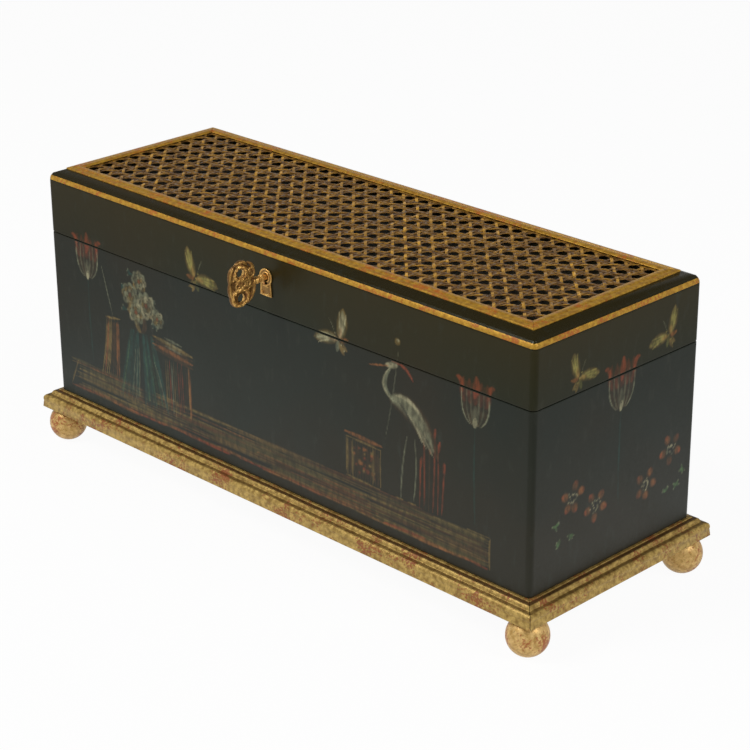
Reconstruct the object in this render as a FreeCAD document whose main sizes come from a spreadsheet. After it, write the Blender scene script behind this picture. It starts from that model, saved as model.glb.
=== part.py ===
import FreeCAD, Part
import math
import os
import re
import Sketcher

# A long lacquered box: a case on a gilt moulded base with ball feet, and a hinged lid
# with a cane panel, a lock and its key. Millimetres, +Z up, front towards -Y.
# The origin is on the floor, under the middle of the whole box and its key.

doc = FreeCAD.newDocument("lacquered_box")
V = FreeCAD.Vector
X_AXIS = V(1, 0, 0)
Y_AXIS = V(0, 1, 0)
Z_AXIS = V(0, 0, 1)

# Driving dimensions
SIZES = (
    # Case and lid
    ("case_length", 480.0),
    ("case_depth", 164.0),
    ("case_height", 128.8),
    ("wall_thick", 10.0),
    ("corner_radius", 4.0),
    ("bottom_thick", 6.0),
    ("seam_gap", 0.4),
    ("lid_height", 40.6),
    ("lid_board_thick", 5.0),
    # Base moulding: its profile from the wall outwards and down
    ("base_inner", 22.0),
    ("ledge_width", 1.6),
    ("quirk_depth", 1.0),
    ("quirk_width", 0.8),
    ("bead_width", 3.0),
    ("bead_height", 2.4),
    ("bead_step", 1.0),
    ("cove_width", 1.6),
    ("cove_drop", 0.4),
    ("nose_width", 3.4),
    ("nose_height", 3.8),
    ("crease_depth", 0.4),
    ("fascia_flare", 0.8),
    ("fascia_height", 5.5),
    ("round_ratio", 0.78),
    # Ball feet
    ("foot_dia", 29.0),
    ("foot_floor_flat", 0.5),
    ("foot_seat_flat", 1.8),
    ("foot_inset", 13.5),
    ("dowel_dia", 8.0),
    ("dowel_length", 9.0),
    ("dowel_clearance", 0.15),
    # Lid moulding: gilt arris, black band, then the seat of the cane frame
    ("arris_inset", 2.3),
    ("arris_height", 4.8),
    ("band_width", 7.8),
    ("band_rise", 3.2),
    ("frame_sink", 1.2),
    # Cane frame and cane
    ("frame_step_width", 3.2),
    ("frame_step_height", 2.2),
    ("frame_step_rise", 0.5),
    ("frame_quirk", 0.4),
    ("frame_bead_width", 6.2),
    ("frame_bead_crown", 0.85),
    ("frame_lap", 5.0),
    ("cane_thick", 1.8),
    ("cane_clearance", 0.2),
    ("cane_pitch", 13.3),
    ("cane_hole_dia", 6.6),
    # Hinges
    ("hinge_end_offset", 90.0),
    ("hinge_length", 40.0),
    ("leaf_width", 9.0),
    ("leaf_thick", 1.5),
    ("knuckle_dia", 5.2),
    ("knuckle_gap", 0.2),
    ("barrel_gap", 0.3),
    ("knuckle_relief", 0.3),
    ("hinge_pin_dia", 2.4),
    ("hinge_pin_clearance", 0.05),
    ("leaf_clearance", 0.1),
    # Countersunk screws
    ("screw_head_dia", 4.4),
    ("screw_head_height", 1.2),
    ("screw_dia", 2.2),
    ("screw_length", 8.0),
    ("screw_clearance", 0.1),
    ("hinge_screw_pitch", 14.0),
    # Lock
    ("lock_width", 54.0),
    ("lock_ear", 6.0),
    ("lock_lift", 0.3),
    ("lock_plate_thick", 1.8),
    ("selvage_thick", 1.5),
    ("lock_cap_wall", 1.2),
    ("lock_clearance", 0.3),
    ("lock_screw_inset", 6.0),
    ("barrel_dia", 12.0),
    ("barrel_clearance", 0.05),
    ("flange_dia", 14.0),
    ("flange_thick", 2.3),
    ("flange_room", 0.9),
    ("socket_floor", 0.6),
    ("crank_radius", 4.5),
    ("crank_pin_dia", 2.4),
    ("crank_clearance", 0.4),
    ("bolt_thick", 3.0),
    ("bolt_web", 1.5),
    ("bolt_arm", 4.0),
    ("finger_height", 2.6),
    ("finger_gap", 0.4),
    ("finger_stand_off", 0.8),
    # Link on the case rim
    ("link_width", 40.0),
    ("link_drop", 16.0),
    ("link_thick", 2.0),
    ("link_screw_offset", 14.0),
    ("tongue_offset", 10.0),
    ("tongue_rise", 11.7),
    ("tongue_width", 6.0),
    ("tongue_thick", 1.9),
    ("tongue_bar", 2.6),
    ("tongue_clearance", 0.7),
    # Escutcheon and key
    ("key_rise", 26.0),
    ("escutcheon_thick", 1.2),
    ("escutcheon_radius", 6.2),
    ("escutcheon_drop", 13.8),
    ("escutcheon_waist", 9.6),
    ("escutcheon_foot", 11.6),
    ("pin_dia", 1.6),
    ("pin_proud", 0.2),
    ("pin_length", 6.0),
    ("pin_inset", 2.2),
    ("pin_clearance", 0.05),
    ("shank_dia", 4.0),
    ("keyhole_clearance", 0.5),
    ("socket_clearance", 0.1),
    ("bit_thick", 1.8),
    ("bit_length", 3.0),
    ("bit_drop", 5.0),
    ("stem_length", 11.5),
    ("collar_dia", 5.0),
    ("collar_place", 9.1),
    ("bow_height", 33.5),
    ("bow_depth", 22.0),
    ("bow_thick", 3.6),
    ("bow_end_radius", 8.0),
    ("bow_side_radius", 6.0),
    ("bow_end_piercing", 4.2),
    ("bow_side_piercing", 2.8),
    # How far a cutting shape runs past the piece that it cuts
    ("cut_overrun", 5.0),
)

sheet = doc.addObject("Spreadsheet::Sheet", "sizes")
for row, (alias, size) in enumerate(SIZES, start=1):
    sheet.set("A%d" % row, alias)
    sheet.set("B%d" % row, str(size))
    sheet.setAlias("B%d" % row, alias)
doc.recompute()

# Places worked out from the sizes, as formulas
HALF_X = "(case_length / 2)"
HALF_Y = "(case_depth / 2)"
INNER_X = "(case_length / 2 - wall_thick)"
INNER_Y = "(case_depth / 2 - wall_thick)"
BASE_OVERHANG = (
    "(ledge_width + quirk_width + bead_width + cove_width + nose_width - crease_depth + fascia_flare)"
)
BASE_HEIGHT = (
    "(quirk_depth + bead_height + bead_step + cove_drop + nose_height + crease_depth + fascia_height)"
)
FOOT_HEIGHT = "(foot_dia - foot_floor_flat - foot_seat_flat)"
BASE_TOP = f"({FOOT_HEIGHT} + {BASE_HEIGHT})"
SEAM = f"({BASE_TOP} + case_height)"
LID_RIM = f"({SEAM} + seam_gap)"
LID_TOP = f"({SEAM} + lid_height)"
LID_BOARD = f"({LID_TOP} - lid_board_thick)"
BAND_INNER = "(arris_inset + band_width)"
BAND_TOP = f"({LID_TOP} + arris_height + band_rise)"
FRAME_SEAT = f"({BAND_TOP} - frame_sink)"
FRAME_WIDTH = "(frame_step_width + frame_bead_width)"
FRAME_INNER = f"({BAND_INNER} + {FRAME_WIDTH})"
HINGE_Y = f"({HALF_Y} + barrel_gap + knuckle_dia / 2)"
HINGE_Z = f"({SEAM} + seam_gap / 2)"
KEY_Z = f"({SEAM} + key_rise)"
PLATE_BACK = f"(lock_plate_thick - {INNER_Y})"
FLANGE_FRONT = f"({PLATE_BACK} + lock_clearance)"
FLANGE_BACK = f"({FLANGE_FRONT} + flange_thick)"
BOLT_FRONT = f"({FLANGE_BACK} + lock_clearance)"
BOLT_BACK = f"({BOLT_FRONT} + bolt_thick)"
CAP_INSIDE = f"({BOLT_BACK} + lock_clearance)"
CAP_BACK = f"({CAP_INSIDE} + lock_cap_wall)"
LOCK_BOTTOM = f"({LID_RIM} + lock_lift)"
SELVAGE_TOP = f"({LOCK_BOTTOM} + selvage_thick)"
LOCK_ROOM_TOP = f"({KEY_Z} + flange_dia / 2 + flange_room)"
LOCK_TOP = f"({LOCK_ROOM_TOP} + lock_cap_wall)"
TONGUE_TOP = f"({LID_RIM} + tongue_rise)"
TONGUE_FRONT = f"({PLATE_BACK} + tongue_clearance)"
FINGER_TOP = f"({TONGUE_TOP} - tongue_bar - finger_gap)"
FINGER_BOTTOM = f"({FINGER_TOP} - finger_height)"
CRANK_SIDE = "(crank_radius * sqrt(0.5))"
THROW = f"(2 * {CRANK_SIDE})"
SOCKET_BACK = f"({FLANGE_BACK} - socket_floor)"
KEY_TIP = f"({SOCKET_BACK} - lock_clearance)"
ESCUTCHEON_FACE = f"(-{HALF_Y} - escutcheon_thick)"
BOW_START = f"({ESCUTCHEON_FACE} - stem_length)"
BOW_Y = f"({BOW_START} - bow_depth / 2)"
KEY_REACH = "(escutcheon_thick + stem_length + bow_depth)"
BACK_REACH = f"({BASE_OVERHANG} + max(0; foot_dia / 2 - foot_inset))"
# The key reaches further out in front than the base or the feet do behind, so every piece
# stands back by half of the difference, and the whole is centred over the origin.
CENTRE_SHIFT = f"(({KEY_REACH} - {BACK_REACH}) / 2)"

ALIAS = re.compile(r"[a-z]+(?:_[a-z]+)+")


def formula(text):
    """The same formula, reading its sizes from the sheet."""
    return ALIAS.sub(r"sizes.\g<0>", text)


def number(text):
    return float(sheet.evalExpression(formula(text)))


def bind(obj, **properties):
    """Bind properties such as Length to formulas."""
    for name, text in properties.items():
        obj.setExpression(name, formula(text))


def place(obj, x="0", y="0", z="0", axis=None, degrees=0):
    """Turn an object about its own origin, and bind its place."""
    if axis is not None:
        obj.Placement = FreeCAD.Placement(V(0, 0, 0), FreeCAD.Rotation(axis, degrees))
    for name, text in (("x", x), ("y", y), ("z", z)):
        obj.setExpression("Placement.Base." + name, formula(text))
    placed_y[obj.Name] = y
    return obj


# Sub-parts, by the name of their file, and the place across the box that each object has
nodes = {}
placed_y = {}


def node(name, obj):
    """Name a finished sub-part, and move it back by the shift that centres the whole box."""
    obj.setExpression("Placement.Base.y", formula(f"{placed_y.get(obj.Name, '0')} + {CENTRE_SHIFT}"))
    obj.Label = name
    nodes[name] = obj


# Helpers for primitives and booleans

def block(name, x, y, z):
    """A box between pairs of formulas (low, high) along each axis."""
    box = doc.addObject("Part::Box", name)
    sides = (("Length", x), ("Width", y), ("Height", z))
    bind(box, **{side: f"({high}) - ({low})" for side, (low, high) in sides})
    return place(box, x=x[0], y=y[0], z=z[0])


def rod(name, radius, length, axis, **where):
    """A cylinder that runs from its place along an axis."""
    cylinder = doc.addObject("Part::Cylinder", name)
    bind(cylinder, Radius=radius, Height=length)
    turns = {"x": (Y_AXIS, 90), "y": (X_AXIS, -90), "z": (Z_AXIS, 0)}
    return place(cylinder, axis=turns[axis][0], degrees=turns[axis][1], **where)


def fuse(name, shapes):
    joined = doc.addObject("Part::MultiFuse", name)
    joined.Shapes = shapes
    return joined


def group(name, shapes):
    compound = doc.addObject("Part::Compound", name)
    compound.Links = shapes
    return compound


def cut(name, base, tools):
    result = doc.addObject("Part::Cut", name)
    result.Base = base
    result.Tool = tools[0] if len(tools) == 1 else group(name + "_tools", tools)
    return result


# Helpers for bodies and their sketches

def sketch(body, name, plane, offset="0"):
    """An empty sketch on one of the body's own planes, moved along the plane's normal."""
    drawing = body.newObject("Sketcher::SketchObject", name)
    support = [f for f in body.Origin.OriginFeatures if f.Role == plane + "_Plane"][0]
    drawing.AttachmentSupport = (support, [""])
    drawing.MapMode = "FlatFace"
    drawing.setExpression("AttachmentOffset.Base.z", formula(offset))
    return drawing


def hold(drawing, kind, *args):
    """Add a constraint whose last argument is a formula."""
    index = drawing.addConstraint(Sketcher.Constraint(kind, *args[:-1], number(args[-1])))
    drawing.setExpression("Constraints[%d]" % index, formula(args[-1]))


def arc_between(start, end, radius, turn):
    """The minor arc from start to end, turning left or right, as a counter-clockwise curve."""
    chord = end - start
    reach = math.sqrt(radius ** 2 - (chord.Length / 2) ** 2)
    side = V(-chord.y, chord.x, 0).normalize() * (reach if turn == "left" else -reach)
    centre = (start + end) / 2 + side
    first, last = (start, end) if turn == "left" else (end, start)
    begin = math.atan2(first.y - centre.y, first.x - centre.x)
    finish = math.atan2(last.y - centre.y, last.x - centre.x)
    if finish < begin:
        finish += 2 * math.pi
    return Part.ArcOfCircle(Part.Circle(centre, Z_AXIS, radius), begin, finish)


def outline(drawing, points):
    """Draw a closed outline. A point is (x, y), or (x, y, radius, turn) where an arc follows it."""
    corners = [V(number(p[0]), number(p[1]), 0) for p in points]
    ends = []
    for i, point in enumerate(points):
        start, end = corners[i], corners[(i + 1) % len(points)]
        if len(point) == 2:
            curve = Part.LineSegment(start, end)
            first, last = 1, 2
        else:
            curve = arc_between(start, end, number(point[2]), point[3])
            first, last = (1, 2) if point[3] == "left" else (2, 1)
        ends.append((drawing.addGeometry(curve, False), first, last))
    for i, (edge, first, last) in enumerate(ends):
        after, after_first, _ = ends[(i + 1) % len(ends)]
        drawing.addConstraint(Sketcher.Constraint("Coincident", edge, last, after, after_first))
        hold(drawing, "DistanceX", -1, 1, edge, first, points[i][0])
        hold(drawing, "DistanceY", -1, 1, edge, first, points[i][1])
        if len(points[i]) > 2:
            hold(drawing, "Radius", edge, points[i][2])


def circle(drawing, x, y, radius):
    edge = drawing.addGeometry(Part.Circle(V(number(x), number(y), 0), Z_AXIS, number(radius)), False)
    hold(drawing, "DistanceX", -1, 1, edge, 3, x)
    hold(drawing, "DistanceY", -1, 1, edge, 3, y)
    hold(drawing, "Radius", edge, radius)


def pad(body, drawing, length, reverse=False):
    feature = body.newObject("PartDesign::Pad", drawing.Name + "_pad")
    feature.Profile = drawing
    feature.Reversed = reverse
    bind(feature, Length=length)
    return feature


def pocket_through(body, drawing):
    """Cut a drawing right through the body, both ways from its plane."""
    feature = body.newObject("PartDesign::Pocket", drawing.Name + "_pocket")
    feature.Profile = drawing
    feature.Type = "ThroughAll"
    feature.SideType = "Symmetric"
    return feature


# Screws: head flush with the surface at its place, shank along -Z before it is turned

def screw(name, slack="0", **where):
    head = doc.addObject("Part::Cone", name + "_head")
    bind(head, Height=f"screw_head_height + {slack}")
    bind(head, Radius1=f"screw_dia / 2 + {slack}", Radius2=f"screw_head_dia / 2 + {slack}")
    place(head, z=f"-screw_head_height - {slack}")
    shank = rod(name + "_shank", f"screw_dia / 2 + {slack}", f"screw_length + {slack}", "z",
                z=f"-screw_length - {slack}")
    return place(fuse(name, [head, shank]), **where)


def screws_and_holes(name, places, **turn):
    """A screw and its clearance hole at each (x, y, z)."""
    screws = []
    holes = []
    for i, (x, y, z) in enumerate(places):
        screws.append(screw(f"{name}_{i}", x=x, y=y, z=z, **turn))
        holes.append(screw(f"{name}_hole_{i}", slack="screw_clearance", x=x, y=y, z=z, **turn))
    return screws, holes


INTO_FRONT = {"axis": X_AXIS, "degrees": -90}
UPWARDS = {"axis": X_AXIS, "degrees": 180}

# Walls: front and back run the whole length and carry the rounded corners

def long_wall(name, low, height, back=False):
    body = doc.addObject("PartDesign::Body", name)
    plan = sketch(body, name + "_plan", "XY", low)
    sign, turn = ("", "right") if back else ("-", "left")
    outer = f"{sign}{HALF_Y}"
    inner = f"{sign}{INNER_Y}"
    tangent = f"{sign}({HALF_Y} - corner_radius)"
    outline(plan, [
        (f"-{HALF_X}", inner),
        (f"-{HALF_X}", tangent, "corner_radius", turn),
        (f"corner_radius - {HALF_X}", outer),
        (f"{HALF_X} - corner_radius", outer, "corner_radius", turn),
        (HALF_X, tangent),
        (HALF_X, inner),
    ])
    pad(body, plan, height)
    return body


def end_wall(name, low, height, right):
    sides = (INNER_X, HALF_X) if right else (f"-{HALF_X}", f"-{INNER_X}")
    return block(name, sides, (f"-{INNER_Y}", INNER_Y), (low, f"{low} + {height}"))


LID_WALL = "(lid_height - seam_gap)"
case_front = long_wall("case_front_blank", BASE_TOP, "case_height")
case_back = long_wall("case_back_blank", BASE_TOP, "case_height", back=True)
lid_front = long_wall("lid_front_blank", LID_RIM, LID_WALL)
lid_back = long_wall("lid_back_blank", LID_RIM, LID_WALL, back=True)
for side in ("left", "right"):
    is_right = side == "right"
    node(f"case_{side}_wall", end_wall(f"case_{side}", BASE_TOP, "case_height", is_right))
    node(f"lid_{side}_wall", end_wall(f"lid_{side}", LID_RIM, LID_WALL, is_right))

# Boards: the case's floor lies on the base, the lid's board closes the lid under the cane
for name, low, thick in (
    ("bottom_board", BASE_TOP, "bottom_thick"),
    ("lid_board", LID_BOARD, "lid_board_thick"),
):
    board = block(name + "_blank", (f"-{INNER_X}", INNER_X), (f"-{INNER_Y}", INNER_Y),
                  (low, f"{low} + {thick}"))
    node(name, board)

# Mitred strips: a blank cut at 45 degrees at both ends, then its moulding planed along it.
# A strip is drawn as the front one, and turned to its side of the box.
SIDES = (
    ("front", HALF_X, HALF_Y, 0),
    ("right", HALF_Y, HALF_X, 90),
    ("back", HALF_X, HALF_Y, 180),
    ("left", HALF_Y, HALF_X, 270),
)


def sharp_ends(run, face, outer):
    """The outer edge of a strip whose corners are sharp, from left to right."""
    return [
        (f"-({run} + {outer})", f"-({face} + {outer})"),
        (f"{run} + {outer}", f"-({face} + {outer})"),
    ]


def rounded_ends(run, face):
    """The outer edge of a strip flush with the walls, each end half of the rounded corner."""
    mitre = "(corner_radius * (1 - sqrt(0.5)))"
    return [
        (f"-({run} - {mitre})", f"-({face} - {mitre})", "corner_radius", "left"),
        (f"-({run} - corner_radius)", f"-{face}"),
        (f"{run} - corner_radius", f"-{face}", "corner_radius", "left"),
        (f"{run} - {mitre}", f"-({face} - {mitre})"),
    ]


def strip(name, run, face, outer_edge, inner, low, height, waste):
    """A strip from its outer edge to inner inside the wall's face. waste holds the outlines,
    as (outwards from the wall's face, height above low), of what is planed away."""
    body = doc.addObject("PartDesign::Body", name)
    plan = sketch(body, name + "_plan", "XY", low)
    outline(plan, outer_edge + [
        (f"{run} - {inner}", f"-({face} - {inner})"),
        (f"-({run} - {inner})", f"-({face} - {inner})"),
    ])
    pad(body, plan, height)
    for i, points in enumerate(waste):
        profile = sketch(body, f"{name}_profile_{i}", "YZ")
        outline(profile, [(f"-({face} + {p[0]})", f"{low} + {p[1]}", *p[2:]) for p in points])
        pocket_through(body, profile)
    return body


def running_points(steps):
    """Turn (outwards, downwards) steps into points, each step added to the ones before it."""
    points = []
    out = "0"
    drop = "0"
    for step_out, step_drop, *arc in steps:
        out = f"{out} + {step_out}"
        drop = f"{drop} + {step_drop}"
        points.append((f"({out})", f"({BASE_HEIGHT} - ({drop}))", *arc))
    return points


def round_radius(width, height):
    """A radius for a rounded moulding, from its chord."""
    return f"(round_ratio * sqrt({width} ^ 2 + {height} ^ 2))"


base_waste = running_points([
    ("ledge_width", "0"),
    ("0", "quirk_depth"),
    ("quirk_width", "0", round_radius("bead_width", "bead_height"), "left"),
    ("bead_width", "bead_height"),
    ("0", "bead_step"),
    ("cove_width", "cove_drop", round_radius("nose_width", "nose_height"), "left"),
    ("nose_width", "nose_height"),
    ("-crease_depth", "crease_depth"),
    ("fascia_flare", "fascia_height"),
    ("cut_overrun", "0"),
])
base_waste.append((f"({BASE_OVERHANG} + cut_overrun)", f"({BASE_HEIGHT} + cut_overrun)"))
base_waste.append(("ledge_width", f"({BASE_HEIGHT} + cut_overrun)"))

# The arris leaves the wall's face upright, so its radius follows from its inset and height
ARRIS_RADIUS = "((arris_inset ^ 2 + arris_height ^ 2) / (2 * arris_inset))"
lid_waste = [
    ("0", "0", ARRIS_RADIUS, "right"),
    ("-arris_inset", "arris_height"),
    (f"-{BAND_INNER}", "(arris_height + band_rise)"),
    (f"-{BAND_INNER}", "(arris_height + band_rise + cut_overrun)"),
    ("cut_overrun", "(arris_height + band_rise + cut_overrun)"),
    ("cut_overrun", "0"),
]
lid_seat_waste = [
    (f"-{BAND_INNER}", "(arris_height + band_rise - frame_sink)"),
    (f"-{FRAME_INNER} - cut_overrun", "(arris_height + band_rise - frame_sink)"),
    (f"-{FRAME_INNER} - cut_overrun", "(arris_height + band_rise + cut_overrun)"),
    (f"-{BAND_INNER}", "(arris_height + band_rise + cut_overrun)"),
]
FRAME_STEP_TOP = "(frame_step_height + frame_step_rise)"
FRAME_BEAD_FOOT = f"({FRAME_STEP_TOP} - frame_quirk)"
FRAME_CROWN = f"({FRAME_BEAD_FOOT} + frame_bead_crown)"
BEAD_RADIUS = "((frame_bead_width ^ 2 / 4 + frame_bead_crown ^ 2) / (2 * frame_bead_crown))"
frame_waste = [
    (f"-{BAND_INNER}", "frame_step_height"),
    (f"-{BAND_INNER} - frame_step_width", FRAME_STEP_TOP),
    (f"-{BAND_INNER} - frame_step_width", FRAME_BEAD_FOOT, BEAD_RADIUS, "right"),
    (f"-{FRAME_INNER}", FRAME_BEAD_FOOT),
    (f"-{FRAME_INNER} - cut_overrun", FRAME_BEAD_FOOT),
    (f"-{FRAME_INNER} - cut_overrun", f"({FRAME_CROWN} + cut_overrun)"),
    (f"cut_overrun - {BAND_INNER}", f"({FRAME_CROWN} + cut_overrun)"),
    (f"cut_overrun - {BAND_INNER}", "frame_step_height"),
]
frame_lap_waste = [
    (f"frame_lap - {FRAME_INNER}", "-cut_overrun"),
    (f"frame_lap - {FRAME_INNER}", "cane_thick"),
    (f"-{FRAME_INNER} - cut_overrun", "cane_thick"),
    (f"-{FRAME_INNER} - cut_overrun", "-cut_overrun"),
]

FOOT_IN = f"(foot_inset - {BASE_OVERHANG})"
for side, run, face, degrees in SIDES:
    turn = {"axis": Z_AXIS, "degrees": degrees}
    base = strip(f"base_{side}", run, face, sharp_ends(run, face, BASE_OVERHANG), "base_inner",
                 FOOT_HEIGHT, BASE_HEIGHT, [base_waste])
    bores = sketch(base, f"base_{side}_bores", "XY", FOOT_HEIGHT)
    for sign in ("-", ""):
        circle(bores, f"{sign}({run} - {FOOT_IN})", f"-({face} - {FOOT_IN})",
               "dowel_dia / 2 + dowel_clearance")
    bore_cut = base.newObject("PartDesign::Pocket", f"base_{side}_bore_cut")
    bore_cut.Profile = bores
    bore_cut.Reversed = True
    bind(bore_cut, Length="dowel_length + dowel_clearance")
    node(f"base_moulding_{side}", place(base, **turn))
    lid_strip = strip(f"lid_strip_{side}", run, face, rounded_ends(run, face), FRAME_INNER,
                      LID_TOP, "arris_height + band_rise", [lid_waste, lid_seat_waste])
    node(f"lid_moulding_{side}", place(lid_strip, **turn))
    frame_strip = strip(f"frame_strip_{side}", run, face, sharp_ends(run, face, f"-{BAND_INNER}"),
                        FRAME_INNER, FRAME_SEAT, FRAME_CROWN, [frame_waste, frame_lap_waste])
    node(f"cane_frame_{side}", place(frame_strip, **turn))

# Ball feet: turned, flat where they stand and where they meet the base, with a dowel
BALL = "(foot_dia / 2)"
BALL_CENTRE = f"({BALL} - foot_floor_flat)"
FLOOR_RADIUS = f"sqrt({BALL} ^ 2 - {BALL_CENTRE} ^ 2)"
SEAT_RADIUS = f"sqrt({BALL} ^ 2 - ({FOOT_HEIGHT} - {BALL_CENTRE}) ^ 2)"
for name, sign_x, sign_y in (
    ("front_left", "-", "-"),
    ("front_right", "", "-"),
    ("back_left", "-", ""),
    ("back_right", "", ""),
):
    foot = doc.addObject("PartDesign::Body", "turned_" + name)
    profile = sketch(foot, "profile_" + name, "XZ")
    outline(profile, [
        ("0", "0"),
        (FLOOR_RADIUS, "0", BALL, "left"),
        (SEAT_RADIUS, FOOT_HEIGHT),
        ("dowel_dia / 2", FOOT_HEIGHT),
        ("dowel_dia / 2", f"{FOOT_HEIGHT} + dowel_length"),
        ("0", f"{FOOT_HEIGHT} + dowel_length"),
    ])
    turning = foot.newObject("PartDesign::Revolution", "turning_" + name)
    turning.Profile = profile
    turning.ReferenceAxis = (profile, ["V_Axis"])
    turning.Angle = 360
    place(foot, x=f"{sign_x}({HALF_X} - {FOOT_IN})", y=f"{sign_y}({HALF_Y} - {FOOT_IN})")
    node(f"foot_{name}", foot)

# Cane: a flat net with a square grid of round holes, its border lying under the frame
cane_lap = number(FRAME_INNER) - number("frame_lap") + number("cane_clearance")
cane_x = number(HALF_X) - cane_lap
cane_y = number(HALF_Y) - cane_lap
cane_low = number(FRAME_SEAT)
cane_pitch = number("cane_pitch")
cane_radius = number("cane_hole_dia / 2")


def hole_places(opening):
    """Centres of the holes across one way of the opening, whole holes only."""
    count = int((opening - 2 * cane_radius) // cane_pitch) + 1
    return [(i - (count - 1) / 2) * cane_pitch for i in range(count)]


border = [V(-cane_x, -cane_y, cane_low), V(cane_x, -cane_y, cane_low),
          V(cane_x, cane_y, cane_low), V(-cane_x, cane_y, cane_low)]
wires = [Part.makePolygon(border + border[:1])]
for x in hole_places(2 * (number(HALF_X) - number(FRAME_INNER))):
    for y in hole_places(2 * (number(HALF_Y) - number(FRAME_INNER))):
        wires.append(Part.Wire([Part.makeCircle(cane_radius, V(x, y, cane_low))]))
net = Part.makeFace(wires, "Part::FaceMakerBullseye")
print("cane: %d holes" % (len(wires) - 1))
cane = doc.addObject("Part::Feature", "cane_net")
cane.Shape = net.extrude(V(0, 0, number("cane_thick")))
node("cane_panel", cane)

# Hinges: five knuckles each, the outer and middle ones on the case
CASE_KNUCKLES = (0, 2, 4)
LID_KNUCKLES = (1, 3)
KNUCKLE_PITCH = f"(hinge_length / {len(CASE_KNUCKLES) + len(LID_KNUCKLES)})"


def hinge_leaf(name, centre, low, own, other, holes):
    start = f"({centre} - hinge_length / 2)"
    leaf = block(name + "_plate", (start, f"{start} + hinge_length"),
                 (f"{HALF_Y} - leaf_width", HINGE_Y), (low, f"{low} + leaf_thick"))
    knuckles = [rod(f"{name}_knuckle_{k}", "knuckle_dia / 2", f"{KNUCKLE_PITCH} - knuckle_gap", "x",
                    x=f"{start} + {k} * {KNUCKLE_PITCH} + knuckle_gap / 2", y=HINGE_Y, z=HINGE_Z)
                for k in own]
    reliefs = [rod(f"{name}_relief_{k}", "knuckle_dia / 2 + knuckle_relief",
                   f"{KNUCKLE_PITCH} + knuckle_gap", "x",
                   x=f"{start} + {k} * {KNUCKLE_PITCH} - knuckle_gap / 2", y=HINGE_Y, z=HINGE_Z)
               for k in other]
    bore = rod(name + "_bore", "hinge_pin_dia / 2 + hinge_pin_clearance",
               "hinge_length + 2 * cut_overrun", "x",
               x=f"{start} - cut_overrun", y=HINGE_Y, z=HINGE_Z)
    return cut(name, fuse(name + "_blank", [leaf] + knuckles), reliefs + [bore] + holes)


def leaf_recess(name, centre, low, high):
    """The housing of a leaf in a back wall's rim."""
    half = "(hinge_length / 2 + leaf_clearance)"
    return block(name, (f"{centre} - {half}", f"{centre} + {half}"),
                 (f"{HALF_Y} - leaf_width - leaf_clearance", f"{HALF_Y} + cut_overrun"), (low, high))


case_hinge_screws = []
lid_hinge_screws = []
case_back_cuts = []
lid_back_cuts = []
for side, sign in (("left", "-"), ("right", "")):
    centre = f"({sign}({HALF_X} - hinge_end_offset))"
    across = [f"{centre} + ({i}) * hinge_screw_pitch" for i in (-1, 0, 1)]
    line = f"{HALF_Y} - leaf_width / 2"
    screws, holes = screws_and_holes(f"{side}_case_screw", [(x, line, SEAM) for x in across])
    case_hinge_screws += screws
    case_back_cuts += holes
    case_back_cuts.append(leaf_recess(f"{side}_case_recess", centre, f"{SEAM} - leaf_thick",
                                      f"{SEAM} + cut_overrun"))
    node(f"hinge_{side}_case_leaf", hinge_leaf(f"{side}_case_leaf", centre, f"{SEAM} - leaf_thick",
                                               CASE_KNUCKLES, LID_KNUCKLES, holes))
    screws, holes = screws_and_holes(f"{side}_lid_screw", [(x, line, LID_RIM) for x in across], **UPWARDS)
    lid_hinge_screws += screws
    lid_back_cuts += holes
    lid_back_cuts.append(leaf_recess(f"{side}_lid_recess", centre, f"{LID_RIM} - cut_overrun",
                                     f"{LID_RIM} + leaf_thick"))
    node(f"hinge_{side}_lid_leaf", hinge_leaf(f"{side}_lid_leaf", centre, LID_RIM,
                                              LID_KNUCKLES, CASE_KNUCKLES, holes))
    pin = rod(f"{side}_pin", "hinge_pin_dia / 2", "hinge_length", "x",
              x=f"{centre} - hinge_length / 2", y=HINGE_Y, z=HINGE_Z)
    node(f"hinge_{side}_pin", pin)
node("hinge_case_screws", group("case_hinge_screws", case_hinge_screws))
node("hinge_lid_screws", group("lid_hinge_screws", lid_hinge_screws))
node("case_back_wall", cut("case_back", case_back, case_back_cuts))
node("lid_back_wall", cut("lid_back", lid_back, lid_back_cuts))

# Link: a bracket inside the case's front rim, whose two tongues rise into the lock
INSIDE = f"(-{INNER_Y})"
link_screws, link_holes = screws_and_holes(
    "link_screw",
    [(f"{sign}link_screw_offset", f"{INSIDE} + link_thick", f"{SEAM} - link_drop / 2 - link_thick / 2")
     for sign in ("-", "")],
    **INTO_FRONT)
link_blocks = [
    block("link_leaf", ("-link_width / 2", "link_width / 2"), (INSIDE, f"{INSIDE} + link_thick"),
          (f"{SEAM} - link_drop", SEAM)),
    block("link_shelf", ("-link_width / 2", "link_width / 2"), (INSIDE, BOLT_BACK),
          (f"{SEAM} - link_thick", SEAM)),
]
tongue_slots = []
for i, sign in enumerate(("-", "")):
    low = f"({sign}tongue_offset - tongue_width / 2)"
    high = f"({sign}tongue_offset + tongue_width / 2)"
    link_blocks.append(block(f"tongue_leg_{i}", (low, high),
                             (TONGUE_FRONT, f"{TONGUE_FRONT} + tongue_thick"),
                             (f"{SEAM} - link_thick", TONGUE_TOP)))
    link_blocks.append(block(f"tongue_bar_{i}", (low, high), (TONGUE_FRONT, BOLT_BACK),
                             (f"{TONGUE_TOP} - tongue_bar", TONGUE_TOP)))
    tongue_slots.append(block(f"tongue_slot_{i}",
                              (f"{low} - tongue_clearance", f"{high} + tongue_clearance"),
                              (PLATE_BACK, CAP_INSIDE), (f"{LOCK_BOTTOM} - cut_overrun", SELVAGE_TOP)))
node("lock_link", cut("link", fuse("link_blank", link_blocks), link_holes))
node("lock_link_screws", group("link_screws", link_screws))
node("case_front_wall", cut("case_front", case_front, link_holes))

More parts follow.
